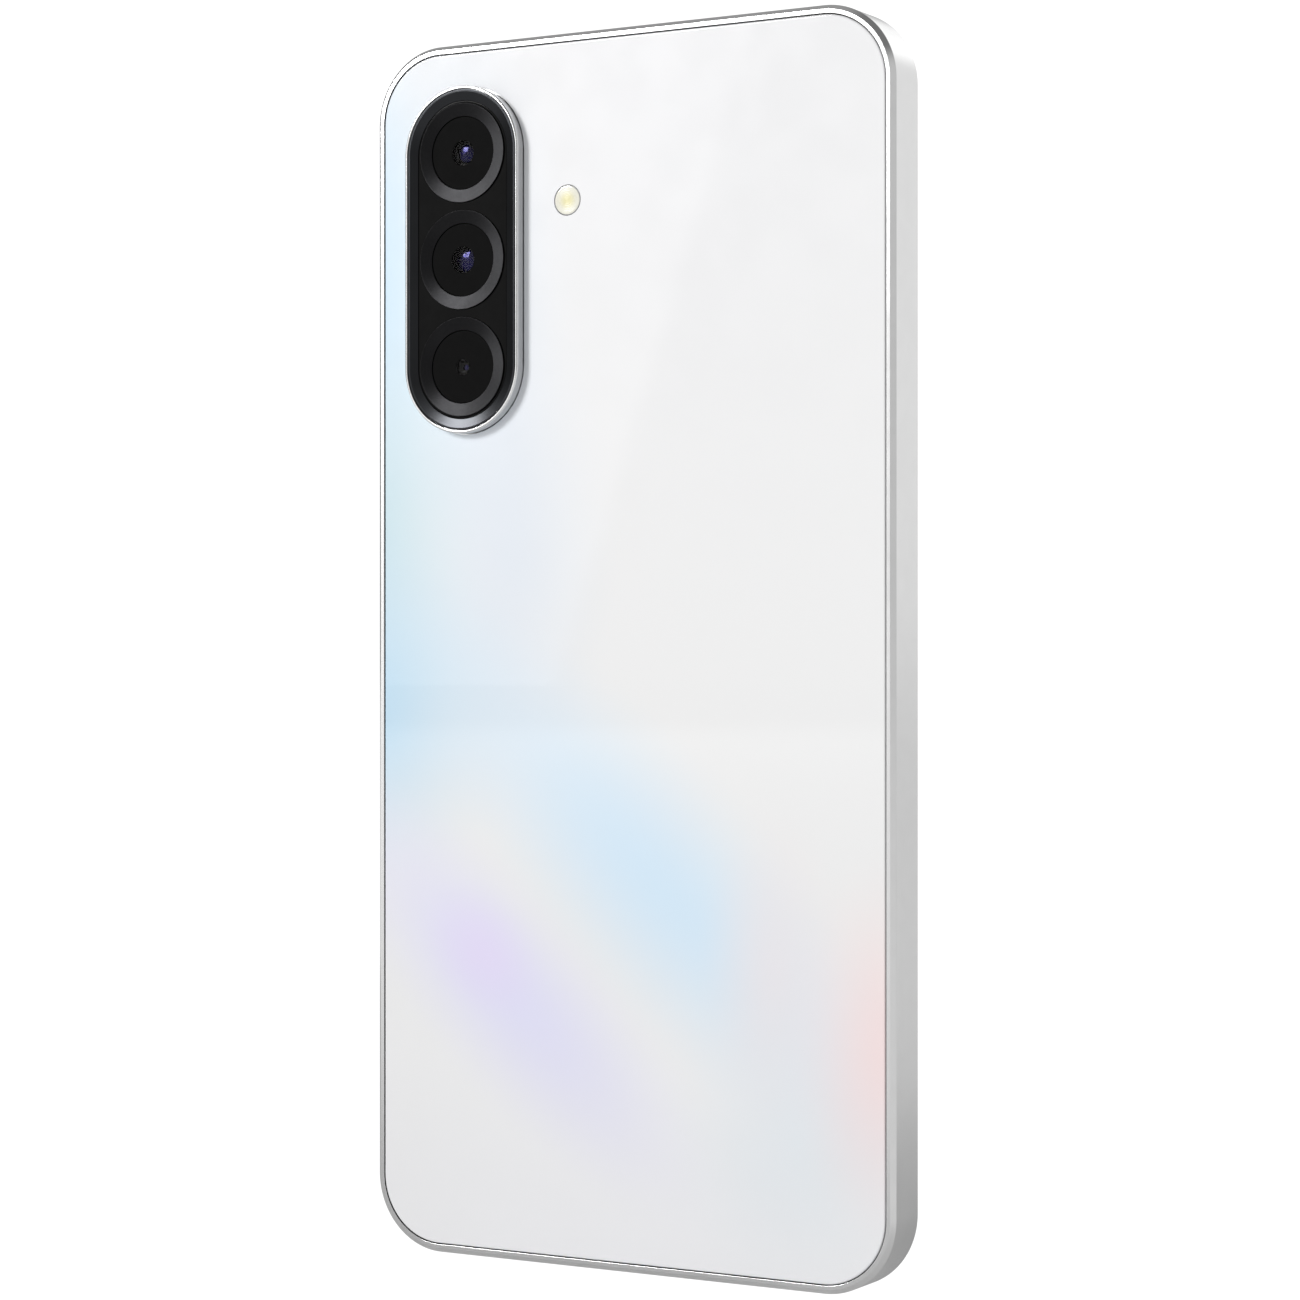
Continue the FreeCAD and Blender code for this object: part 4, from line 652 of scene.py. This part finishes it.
def make_back_glass():
    low, high = box("back_glass")
    glossy, dark = range(2)
    sheet = bmesh.new()
    section = soften([(0.3, low.y, 0, dark), (0, low.y, GLASS_FOOT, dark),
                      (0, high.y, GLASS_EDGE, glossy), (0.6, high.y, 0, glossy)], steps=8)
    sweep(sheet, GLASS, section, backward, steps=GLASS_STEPS)
    tools = bmesh.new()
    start = low.y - 0.2
    island_gap, flash_hole = 0.1, 2.05
    add_opening(tools, inset(ISLAND, -island_gap), backward, start, high.y, 0.04)
    add_opening(tools, disc(*FLASH, flash_hole), backward, start, high.y, 0.03)
    looks = finishes("glass", "gap")
    mesh = cut(settle(sheet, "back_glass"), [tools], looks)
    piece("back_glass_sheet", mesh, looks, stands_for=["back_glass"])


def make_front_glass():
    low, high = box("front_glass")
    underside = high.y - 0.05
    sheet = bmesh.new()
    section = soften([(0.3, underside, 0, 0), (0, underside, GLASS_FOOT, 0),
                      (0, low.y, GLASS_EDGE, 0), (0.6, low.y, 0, 0)], steps=8)
    sweep(sheet, GLASS, section, backward, steps=GLASS_STEPS)
    piece("front_glass_sheet", sheet, finishes("front"),
          stands_for=["front_glass"])

    mask = bmesh.new()
    screen = rounded(0, TOP / 2 + SCREEN_RISE, PHONE[2] - 2 * SIDE_BORDER,
                     TOP - 2 * END_BORDER, SCREEN_CORNER)
    border = inset(GLASS, MASK_INSET)
    near, far = underside + PRINT_GAP, high.y - PRINT_GAP
    loft(mask, [(border, near, 0), (screen, near, 0), (screen, far, 0), (border, far, 0)],
         backward, steps=24, closed=True)
    turn(mask, middle_of(*box("front_camera")),
         [(HOLE_PRINT_RADIUS, near, 0), (HOLE_RADIUS, near, 0), (HOLE_RADIUS, far, 0),
          (HOLE_PRINT_RADIUS, far, 0)], closed=True)
    piece("display_mask", mask, finishes("print"))


def make_front_camera():
    low, high = box("front_camera")
    centre = middle_of(low, high)
    camera = bmesh.new()
    shell = rounded(*centre, high.x - low.x, high.z - low.z, 0.5)
    seat = -2.05
    sweep(camera, shell, soften([(0.4, high.y, 0, 0), (0, high.y, 0.1, 0), (0, seat, 0.1, 0),
                                 (0.4, seat, 0, 0)]), backward, steps=6)
    turn(camera, centre, [(1.9, seat + 0.05, 0), (1.9, low.y + 0.08, 0), (1.82, low.y, 0),
                          (1.3, low.y, 0), (1.22, low.y + 0.1, 0), (0.95, low.y + 0.2, 0),
                          (0.9, low.y + 0.3, 0), (0.8, low.y + 0.32, 0)], steps=12)
    piece("front_camera_body", camera, finishes("barrel"),
          stands_for=["front_camera"])
    lens_radius = 0.88
    element("front_camera_lens", centre, lens_radius, low.y + 0.34, low.y + 0.14)


def element(name, centre, radius, edge, crown, body=ROOT):
    """A domed front lens element, from the depth of its edge to that of its crown."""
    rings, thickness, taper = 10, 0.12, 0.98
    base = edge + math.copysign(thickness, edge - crown)
    section = [(radius * taper, base, 0), (radius, edge, 0)]
    for k in range(1, rings + 1):
        angle = k / (rings + 0.5) * math.pi / 2
        section.append((radius * math.cos(angle), edge + (crown - edge) * math.sin(angle), 0))
    dome = bmesh.new()
    turn(dome, centre, section, steps=12)
    piece(name, dome, finishes("lens"), body)


make_back_glass()
make_front_glass()
make_front_camera()


# ---- camera island -------------------------------------------------------------------------

# The bright rim, the dark bevel inside it and the plate, by their distance from the island's edge.
RIM = 0.365
BEVEL_OUTER, BEVEL_WIDTH, BEVEL_FLAT, BEVEL_DROP = RIM + 0.08, 1.5, 0.3, 0.28
PLATE_INSET = BEVEL_OUTER + BEVEL_WIDTH + 0.04

# Radii of a lens ring and of the ledge that its window rests on.
RING_OUTER, RING_INNER, LEDGE = 6.67, 4.91, 4.41
rings_low, rings_high = box("lens_rings")
LENS_X, MIDDLE_Z = middle_of(rings_low, rings_high)
PITCH = rings_high.z - MIDDLE_Z - RING_OUTER
LENSES = {"top": MIDDLE_Z + PITCH, "middle": MIDDLE_Z, "bottom": MIDDLE_Z - PITCH}

# Heights, from the island's top.
ISLAND_SEAT = ISLAND_TOP - 1.1
BEVEL_FOOT, BEVEL_TOP = ISLAND_SEAT + 0.25, ISLAND_TOP - 0.1
PLATE_TOP = ISLAND_TOP - 0.45
RING_TOP, RING_DROP = ISLAND_TOP - 0.22, 0.24
WINDOW_FRONT, WINDOW_TOP = ISLAND_TOP - 1.0, ISLAND_TOP - 0.6
ISLAND_STEPS = 48


def make_island():
    bezel = bmesh.new()
    flange_back, flange_front = island_low.y, island_low.y + 0.5
    section = soften([(RIM + 1, flange_back, 0, 0), (-FLANGE, flange_back, 0, 0),
                      (-FLANGE, flange_front, 0, 0), (0, flange_front, 0, 0),
                      (0, ISLAND_TOP, 0.2, 0), (RIM, ISLAND_TOP, 0.07, 0),
                      (RIM, ISLAND_SEAT, 0, 0), (RIM + 1, ISLAND_SEAT, 0, 0)], closed=True)
    sweep(bezel, ISLAND, section, backward, steps=ISLAND_STEPS, closed=True)
    piece("camera_bezel_band", bezel, finishes("bezel"),
          stands_for=["camera_bezel"])

    ring = bmesh.new()
    inner = BEVEL_OUTER + BEVEL_WIDTH
    section = soften([(BEVEL_OUTER, BEVEL_FOOT, 0, 0), (BEVEL_OUTER, BEVEL_TOP, 0.06, 0),
                      (BEVEL_OUTER + BEVEL_FLAT, BEVEL_TOP, 0.05, 0),
                      (inner, BEVEL_TOP - BEVEL_DROP, 0.03, 0), (inner, BEVEL_FOOT, 0, 0)],
                     closed=True)
    sweep(ring, ISLAND, section, backward, steps=ISLAND_STEPS, closed=True)
    piece("camera_bevel_band", ring, finishes("bevel"),
          stands_for=["camera_bevel_ring"])

    plate = bmesh.new()
    section = soften([(BEVEL_OUTER, ISLAND_SEAT, 0, 0), (BEVEL_OUTER, BEVEL_FOOT, 0, 0),
                      (PLATE_INSET, BEVEL_FOOT, 0, 0), (PLATE_INSET, PLATE_TOP, 0.03, 0),
                      (PLATE_INSET + 0.12, PLATE_TOP, 0, 0)])
    sweep(plate, ISLAND, section, backward, steps=ISLAND_STEPS)
    tools = bmesh.new()
    for z in LENSES.values():
        turn(tools, (LENS_X, z), [(RING_OUTER + 0.02, ISLAND_SEAT - 0.5, 0),
                                  (RING_OUTER + 0.02, PLATE_TOP - 0.02, 0),
                                  (RING_OUTER + 0.04, PLATE_TOP, 0),
                                  (RING_OUTER + 0.1, PLATE_TOP + 0.3, 0)], steps=24)
    mesh = cut(settle(plate, "camera_plate"), [tools], finishes("plate"))
    piece("camera_plate_face", mesh, finishes("plate"),
          stands_for=["camera_plate"])


def make_lens(place, clear):
    """One bevelled ring and its window, printed glossy black outside the clear part."""
    centre = (LENS_X, LENSES[place])
    ring = bmesh.new()
    foot = WINDOW_FRONT - 0.25
    section = soften([(LEDGE, foot, 0, 0), (RING_OUTER, foot, 0, 0),
                      (RING_OUTER, RING_TOP, 0.05, 0),
                      (RING_INNER, RING_TOP - RING_DROP, 0.05, 0),
                      (RING_INNER, WINDOW_FRONT, 0, 0), (LEDGE, WINDOW_FRONT, 0, 0)], closed=True)
    turn(ring, centre, section, steps=32, closed=True)
    piece("lens_ring_" + place, ring, finishes("ring"), stands_for=["lens_rings"])

    glossy, printed = range(2)
    pane = bmesh.new()
    edge = RING_INNER - 0.03
    turn(pane, centre, [(clear, WINDOW_FRONT, printed), (edge - 0.03, WINDOW_FRONT, printed),
                        (edge, WINDOW_FRONT + 0.03, printed), (edge, WINDOW_TOP - 0.05, printed),
                        (edge - 0.05, WINDOW_TOP, printed), (edge - 0.2, WINDOW_TOP, printed),
                        (clear, WINDOW_TOP, glossy)], steps=24)
    for face in pane.faces:
        if len(face.verts) > 4:
            face.material_index = glossy
    piece("lens_window_" + place, pane, finishes("window", "print"),
          stands_for=["lens_windows"])


def make_fixed_camera(name, node, shoulder, barrel, steps_in, lens_radius):
    """A square camera body with a stepped barrel and its front element."""
    low, high = box(node)
    centre = middle_of(low, high)
    width = high.x - low.x
    body = bmesh.new()
    sweep(body, rounded(*centre, width, width, 0.5),
          soften([(0.6, low.y, 0, 0), (0, low.y, 0.1, 0), (0, shoulder, 0.12, 0),
                  (0.6, shoulder, 0, 0)]), backward, steps=6)
    section = [(barrel, shoulder - 0.05, 0), (barrel, high.y - 0.1, 0), (barrel - 0.08, high.y, 0)]
    section += [(radius, high.y - depth, 0) for radius, depth in steps_in]
    turn(body, centre, section, steps=16)
    piece(name + "_body", body, finishes("barrel"), stands_for=[node])
    seat, dome = high.y - steps_in[-1][1] + 0.02, lens_radius * 0.22
    element(name + "_lens", centre, lens_radius, seat, seat + dome)


def make_main_barrel():
    node = "main_lens_barrel"
    low, high = box(node)
    centre = middle_of(low, high)
    radius, lens_radius = (high.x - low.x) / 2, 1.68
    steps_in = (2.5, 0), (2.45, 0.12), (2.1, 0.2), (2.05, 0.32), (1.75, 0.4), (1.7, 0.55)
    section = [(radius - 0.1, low.y, 0), (radius, low.y + 0.1, 0), (radius, high.y - 0.08, 0),
               (radius - 0.08, high.y, 0)]
    section += [(inner, high.y - depth, 0) for inner, depth in steps_in]
    tube = bmesh.new()
    turn(tube, centre, section, steps=24)
    piece("main_lens_tube", tube, finishes("barrel"), node, stands_for=[node])
    element("main_lens_element", centre, lens_radius, high.y - 0.53, high.y - 0.15, node)


def make_flash():
    low, high = box("flash_lens")
    radius = 2.0
    window = bmesh.new()
    turn(window, FLASH, [(radius - 0.3, low.y, 0), (radius - 0.05, low.y, 0),
                         (radius, low.y + 0.05, 0), (radius, high.y - 0.1, 0),
                         (radius - 0.05, high.y - 0.03, 0), (radius - 0.15, high.y, 0),
                         (radius - 0.3, high.y, 0)], steps=16)
    piece("flash_window", window, finishes("flash"), stands_for=["flash_lens"])


make_island()
for place, clear in (("top", 1.7), ("middle", 1.8), ("bottom", 1.1)):
    make_lens(place, clear)
make_fixed_camera("ultrawide", "ultrawide_camera", 1.6, 2.6,
                  [(2.15, 0), (2.1, 0.12), (1.7, 0.2), (1.65, 0.3), (1.3, 0.36), (1.25, 0.5)], 1.23)
make_fixed_camera("closeup", "closeup_camera", 0.8, 1.9,
                  [(1.45, 0), (1.4, 0.1), (0.75, 0.3), (0.42, 0.32), (0.4, 0.45)], 0.39)
make_main_barrel()
make_flash()


# ---- keys, tray and socket -----------------------------------------------------------------

def make_key(node):
    """A key with a flat flange inside the wall and a rounded cap outside it."""
    low, high = box(node)
    flange_top = low.x + 0.6
    plan = pill(0, (low.z + high.z) / 2, high.y - low.y - 2 * KEY_FLANGE,
                high.z - low.z - 2 * KEY_FLANGE)
    anodised, polished = range(2)
    section = soften([(0.2, low.x, 0, anodised), (-KEY_FLANGE, low.x, 0.05, anodised),
                      (-KEY_FLANGE, flange_top, 0.05, anodised), (0, flange_top, 0, anodised),
                      (0, high.x - 0.12, 0.08, polished), (0.14, high.x - 0.03, 0.1, anodised),
                      (0.5, high.x - 0.005, 0, anodised), (0.9, high.x, 0, anodised)])
    key = bmesh.new()
    sweep(key, plan, section, sideways, steps=12)
    piece(node + "_cap", key, finishes("anodised", "polished"), node,
          stands_for=[node])


HEAD_WIDTH, HEAD_DEPTH = 2.6, 1.9
CARRIER_SIZE, CARRIER_CORNER = (13.4, 1.3), 0.12
PIN_HOLE_RADIUS = 0.45
CARD_MIDDLES, SEAT_SIZE, CARD_WINDOW_SIZE, CARD_CORNER = (153.8, 144.0), (12.4, 8.9), (10.6, 7.1), 0.5


def make_tray():
    """The tray's head, with its pin hole, and the carrier with a seat for each card."""
    low, high = box("sim_tray")
    centre_x = (low.x + high.x) / 2
    shoulder = TOP - HEAD_DEPTH
    tray = bmesh.new()
    head = pill(centre_x, HEAD_Y, high.x - low.x, HEAD_WIDTH)
    sweep(tray, head, soften([(0.3, shoulder, 0, 0), (0, shoulder, 0.08, 0), (0, TOP, 0.1, 0),
                              (0.3, TOP, 0, 0)]), endwise, steps=14)
    pin = bmesh.new()
    add_opening(pin, disc(PIN_X, CARD_Y, PIN_HOLE_RADIUS), endwise, shoulder - BEHIND, TOP, 0.06)
    mesh = cut(settle(tray, "tray_head"), [pin], finishes("anodised"))
    piece("sim_tray_head", mesh, finishes("anodised"), "sim_tray",
          stands_for=["sim_tray"])

    carrier = bmesh.new()
    plan = rounded(centre_x, CARD_Y, *CARRIER_SIZE, CARRIER_CORNER)
    sweep(carrier, plan, soften([(0.3, low.z, 0, 0), (0, low.z, 0.2, 0), (0, shoulder + 0.1, 0, 0)]),
          endwise, steps=4)
    seats, windows = bmesh.new(), bmesh.new()
    for middle in CARD_MIDDLES:
        seat = rounded(centre_x, middle, *SEAT_SIZE, CARD_CORNER)
        window = rounded(centre_x, middle, *CARD_WINDOW_SIZE, CARD_CORNER)
        add_opening(seats, seat, backward, -1.1, -1.85, 0.05)
        add_opening(windows, window, backward, -0.3, -1.3, 0.02)
    mesh = cut(settle(carrier, "tray_carrier"), [seats, windows], finishes("tray"))
    piece("sim_tray_carrier", mesh, finishes("tray"), "sim_tray",
          stands_for=["sim_tray"])


CONTACT_COUNT, CONTACT_PITCH, CONTACT_SIZE, CONTACT_CORNER = 12, 0.5, (0.26, 3.0), 0.06


def make_socket():
    """The socket's shell, its tongue and the contacts on both faces of the tongue."""
    low, high = box("usb_shell")
    plan = pill(0, 0, high.x - low.x, high.y - low.y)
    shell = bmesh.new()
    thickness = 0.3
    floor = high.z - 0.8
    section = soften([(0.6, floor, 0, 0), (thickness, floor, 0, 0), (thickness, low.z, 0.06, 0),
                      (0, low.z, 0.06, 0), (0, high.z, 0.1, 0), (0.4, high.z, 0, 0)])
    sweep(shell, plan, section, endwise, steps=16)
    piece("usb_shell_tube", shell, finishes("steel"), stands_for=["usb_shell"])

    low, high = box("usb_tongue")
    tongue = bmesh.new()
    plan = rounded(0, 0, high.x - low.x, high.y - low.y, 0.2)
    sweep(tongue, plan, soften([(0.15, low.z, 0, 0), (0, low.z + 0.12, 0.05, 0),
                                (0, high.z, 0, 0)]), endwise, steps=4)
    piece("usb_tongue_blade", tongue, finishes("chip"), stands_for=["usb_tongue"])

    contacts = bmesh.new()
    first_x = -CONTACT_PITCH * (CONTACT_COUNT - 1) / 2
    middle_z = (low.z + 3.6) / 2 + 0.25
    for k in range(CONTACT_COUNT):
        plan = rounded(first_x + CONTACT_PITCH * k, middle_z, *CONTACT_SIZE, CONTACT_CORNER)
        for side in (-1, 1):
            surface = side * high.y
            sweep(contacts, plan, [(0.02, surface - side * 0.05, 0), (0, surface - side * 0.03, 0),
                                   (0, surface - side * 0.005, 0), (0.02, surface + side * 0.01, 0)],
                  backward, steps=3)
    piece("usb_contacts", contacts, finishes("gold"))


for node in ("power_key", "volume_key"):
    make_key(node)
make_tray()
make_socket()


# ---- camera, floor and light ---------------------------------------------------------------

# The camera: its place in metres, the way it looks and its focal length in millimetres.
CAMERA_PLACE, CAMERA_AIM, CAMERA_LENS = (-0.21747, 0.37378, 0.08138), (0.4998, -0.8661, 0), 90.97

# Soft studio panels round the phone: azimuth, elevation, inner and outer radius, brightness.
AMBIENT = 0.20
PANELS = [
    (60, 2, 12, 30, 0.50),
    (150, 0, 20, 45, 0.42),
    (228, 8, 22, 50, 0.42),
    (270, 30, 8, 22, 0.70),
    (270, 0, 35, 66, 0.26),
    (0, 60, 15, 40, 0.16),
]

# A brighter screen within the first panel, cut off along a straight edge: the edge's normal
# and its blur, then the screen's middle, inner and outer radius and brightness.
SHEEN_EDGE, SHEEN_BLUR = (0.8166, -0.4999, 0.2891), 0.004
SHEEN_AIM, SHEEN_INNER, SHEEN_OUTER, SHEEN_LEVEL = (60, 7), 5, 12, 0.75

# The one lamp, a disc: its power in watts, its size and distance in metres, and its direction.
KEY_POWER, KEY_SIZE, KEY_DISTANCE, KEY_TOWARD = 58.0, 1.0, 3.0, (0.55, 0.75, 0.40)

# The floor's glow holds a painted shade: it glows less near a centre beside the phone. The levels
# are those near and far, and the glow rises between two radii, in metres, about that centre.
FLOOR_PAINTED_SHADE_LEVEL, FLOOR_FAR_LEVEL = 0.42, 1.0
FLOOR_PAINTED_SHADE_CENTRE, FLOOR_PAINTED_SHADE_RADII = (0.15, -0.11, 0.0), (0.2, 0.28)
FLOOR_TONE, FLOOR_GLOW_SHARE = 225, 0.5

# The floor's size, corner radius, underside and top, in millimetres.
FLOOR_SIZE, FLOOR_CORNER, FLOOR_BOTTOM, FLOOR_TOP = 12000, 2000, -60.0, -0.02
WHITE_LEVEL = 1.1


def make_camera():
    lens = bpy.data.cameras.new("view_camera")
    lens.lens = CAMERA_LENS
    lens.sensor_width = 36
    lens.clip_start = 0.01
    camera = bpy.data.objects.new("view_camera", lens)
    bpy.context.scene.collection.objects.link(camera)
    camera.location = CAMERA_PLACE
    camera.rotation_euler = Vector(CAMERA_AIM).to_track_quat("-Z", "Y").to_euler()
    bpy.context.scene.camera = camera


def aim(azimuth, elevation):
    """A unit direction, from angles in degrees; azimuth 0 is +X and 90 is +Y."""
    a, e = math.radians(azimuth), math.radians(elevation)
    return Vector((math.cos(a) * math.cos(e), math.sin(a) * math.cos(e), math.sin(e)))


def compute(tree, operation, a, b, c=None):
    """A Math node on sockets or numbers."""
    node = tree.nodes.new("ShaderNodeMath")
    node.operation = operation
    for index, value in enumerate((a, b) if c is None else (a, b, c)):
        Finish.put(node, index, value)
    return node.outputs[0]


def towards(tree, direction, normal, low, high, level=1.0):
    """A level that comes up as a direction turns towards a normal, between two cosines."""
    facing = tree.nodes.new("ShaderNodeVectorMath")
    facing.operation = "DOT_PRODUCT"
    facing.inputs[1].default_value = normal
    tree.links.new(direction, facing.inputs[0])
    fall = tree.nodes.new("ShaderNodeMapRange")
    fall.interpolation_type = "SMOOTHSTEP"
    fall.inputs["From Min"].default_value = low
    fall.inputs["From Max"].default_value = high
    fall.inputs["To Max"].default_value = level
    tree.links.new(facing.outputs["Value"], fall.inputs["Value"])
    return fall.outputs["Result"]


def screen(tree, direction, middle, inner, outer, level=1.0):
    """A soft round screen in the surroundings, by angles in degrees."""
    return towards(tree, direction, aim(*middle), math.cos(math.radians(outer)),
                   math.cos(math.radians(inner)), level)


def white_to_camera(tree, lit, white_kind, out_kind):
    """Finish a shader tree so that the camera sees plain white and everything else sees lit."""
    white = tree.nodes.new(white_kind)
    white.inputs["Color"].default_value = (1, 1, 1, 1)
    white.inputs["Strength"].default_value = WHITE_LEVEL
    seen = tree.nodes.new("ShaderNodeLightPath").outputs["Is Camera Ray"]
    choice = tree.nodes.new("ShaderNodeMixShader")
    tree.links.new(seen, choice.inputs[0])
    tree.links.new(lit, choice.inputs[1])
    tree.links.new(white.outputs[0], choice.inputs[2])
    tree.links.new(choice.outputs[0], tree.nodes.new(out_kind).inputs[0])


def make_world():
    """Dim surroundings with the soft panels, and plain white behind the phone."""
    world = bpy.data.worlds.new("studio")
    bpy.context.scene.world = world
    world.use_nodes = True
    tree = world.node_tree
    tree.nodes.clear()
    direction = tree.nodes.new("ShaderNodeTexCoord").outputs["Generated"]
    level = AMBIENT
    for azimuth, elevation, inner, outer, brightness in PANELS:
        panel = screen(tree, direction, (azimuth, elevation), inner, outer, brightness)
        level = compute(tree, "ADD", panel, level)
    edge = towards(tree, direction, SHEEN_EDGE, -SHEEN_BLUR, SHEEN_BLUR)
    sheen = screen(tree, direction, SHEEN_AIM, SHEEN_INNER, SHEEN_OUTER)
    both = compute(tree, "MULTIPLY", edge, sheen)
    level = compute(tree, "MULTIPLY_ADD", both, SHEEN_LEVEL, level)
    panels = tree.nodes.new("ShaderNodeBackground")
    panels.inputs["Color"].default_value = (1, 1, 1, 1)
    tree.links.new(level, panels.inputs["Strength"])
    white_to_camera(tree, panels.outputs[0], "ShaderNodeBackground", "ShaderNodeOutputWorld")


def make_key_light():
    light = bpy.data.lights.new("key_light", "AREA")
    light.shape = "DISK"
    light.size = KEY_SIZE
    light.energy = KEY_POWER
    lamp = bpy.data.objects.new("key_light", light)
    bpy.context.scene.collection.objects.link(lamp)
    toward = Vector(KEY_TOWARD).normalized()
    middle = Vector((0, 0, TOP / 2 * MM))
    lamp.location = middle + toward * KEY_DISTANCE
    lamp.rotation_euler = toward.to_track_quat("Z", "Y").to_euler()


def make_floor():
    """A pale floor that shows as plain white and lights the phone softly from below, with a painted
    shade where its glow dims near the phone.
    """
    shape = bmesh.new()
    plan = rounded(0, 0, FLOOR_SIZE, FLOOR_SIZE, FLOOR_CORNER)
    loft(shape, [(plan, FLOOR_BOTTOM, 0), (plan, FLOOR_TOP, 0)], endwise, steps=8)
    mesh = settle(shape, "floor")
    made = bpy.data.materials.new("pale_floor")
    made.use_nodes = True
    tree = made.node_tree
    tree.nodes.clear()
    matt = tree.nodes.new("ShaderNodeBsdfDiffuse")
    matt.inputs["Color"].default_value = grey(FLOOR_TONE)
    # Painted shade: the glow dims near a centre beside the phone.
    place = tree.nodes.new("ShaderNodeNewGeometry").outputs["Position"]
    reach = tree.nodes.new("ShaderNodeVectorMath")
    reach.operation = "DISTANCE"
    reach.inputs[1].default_value = FLOOR_PAINTED_SHADE_CENTRE
    tree.links.new(place, reach.inputs[0])
    level = tree.nodes.new("ShaderNodeMapRange")
    ranges = ("From Min", "From Max", "To Min", "To Max")
    for key, value in zip(ranges, (*FLOOR_PAINTED_SHADE_RADII, FLOOR_PAINTED_SHADE_LEVEL, FLOOR_FAR_LEVEL)):
        level.inputs[key].default_value = value
    tree.links.new(reach.outputs["Value"], level.inputs["Value"])
    glow = tree.nodes.new("ShaderNodeEmission")
    tree.links.new(level.outputs[0], glow.inputs["Strength"])
    soft = tree.nodes.new("ShaderNodeMixShader")
    soft.inputs[0].default_value = FLOOR_GLOW_SHARE
    tree.links.new(matt.outputs[0], soft.inputs[1])
    tree.links.new(glow.outputs[0], soft.inputs[2])
    white_to_camera(tree, soft.outputs[0], "ShaderNodeEmission", "ShaderNodeOutputMaterial")
    mesh.materials.append(made)
    floor = bpy.data.objects.new("floor", mesh)
    bpy.context.scene.collection.objects.link(floor)


make_camera()
make_world()
make_key_light()
make_floor()
bpy.context.scene.view_settings.view_transform = "Standard"
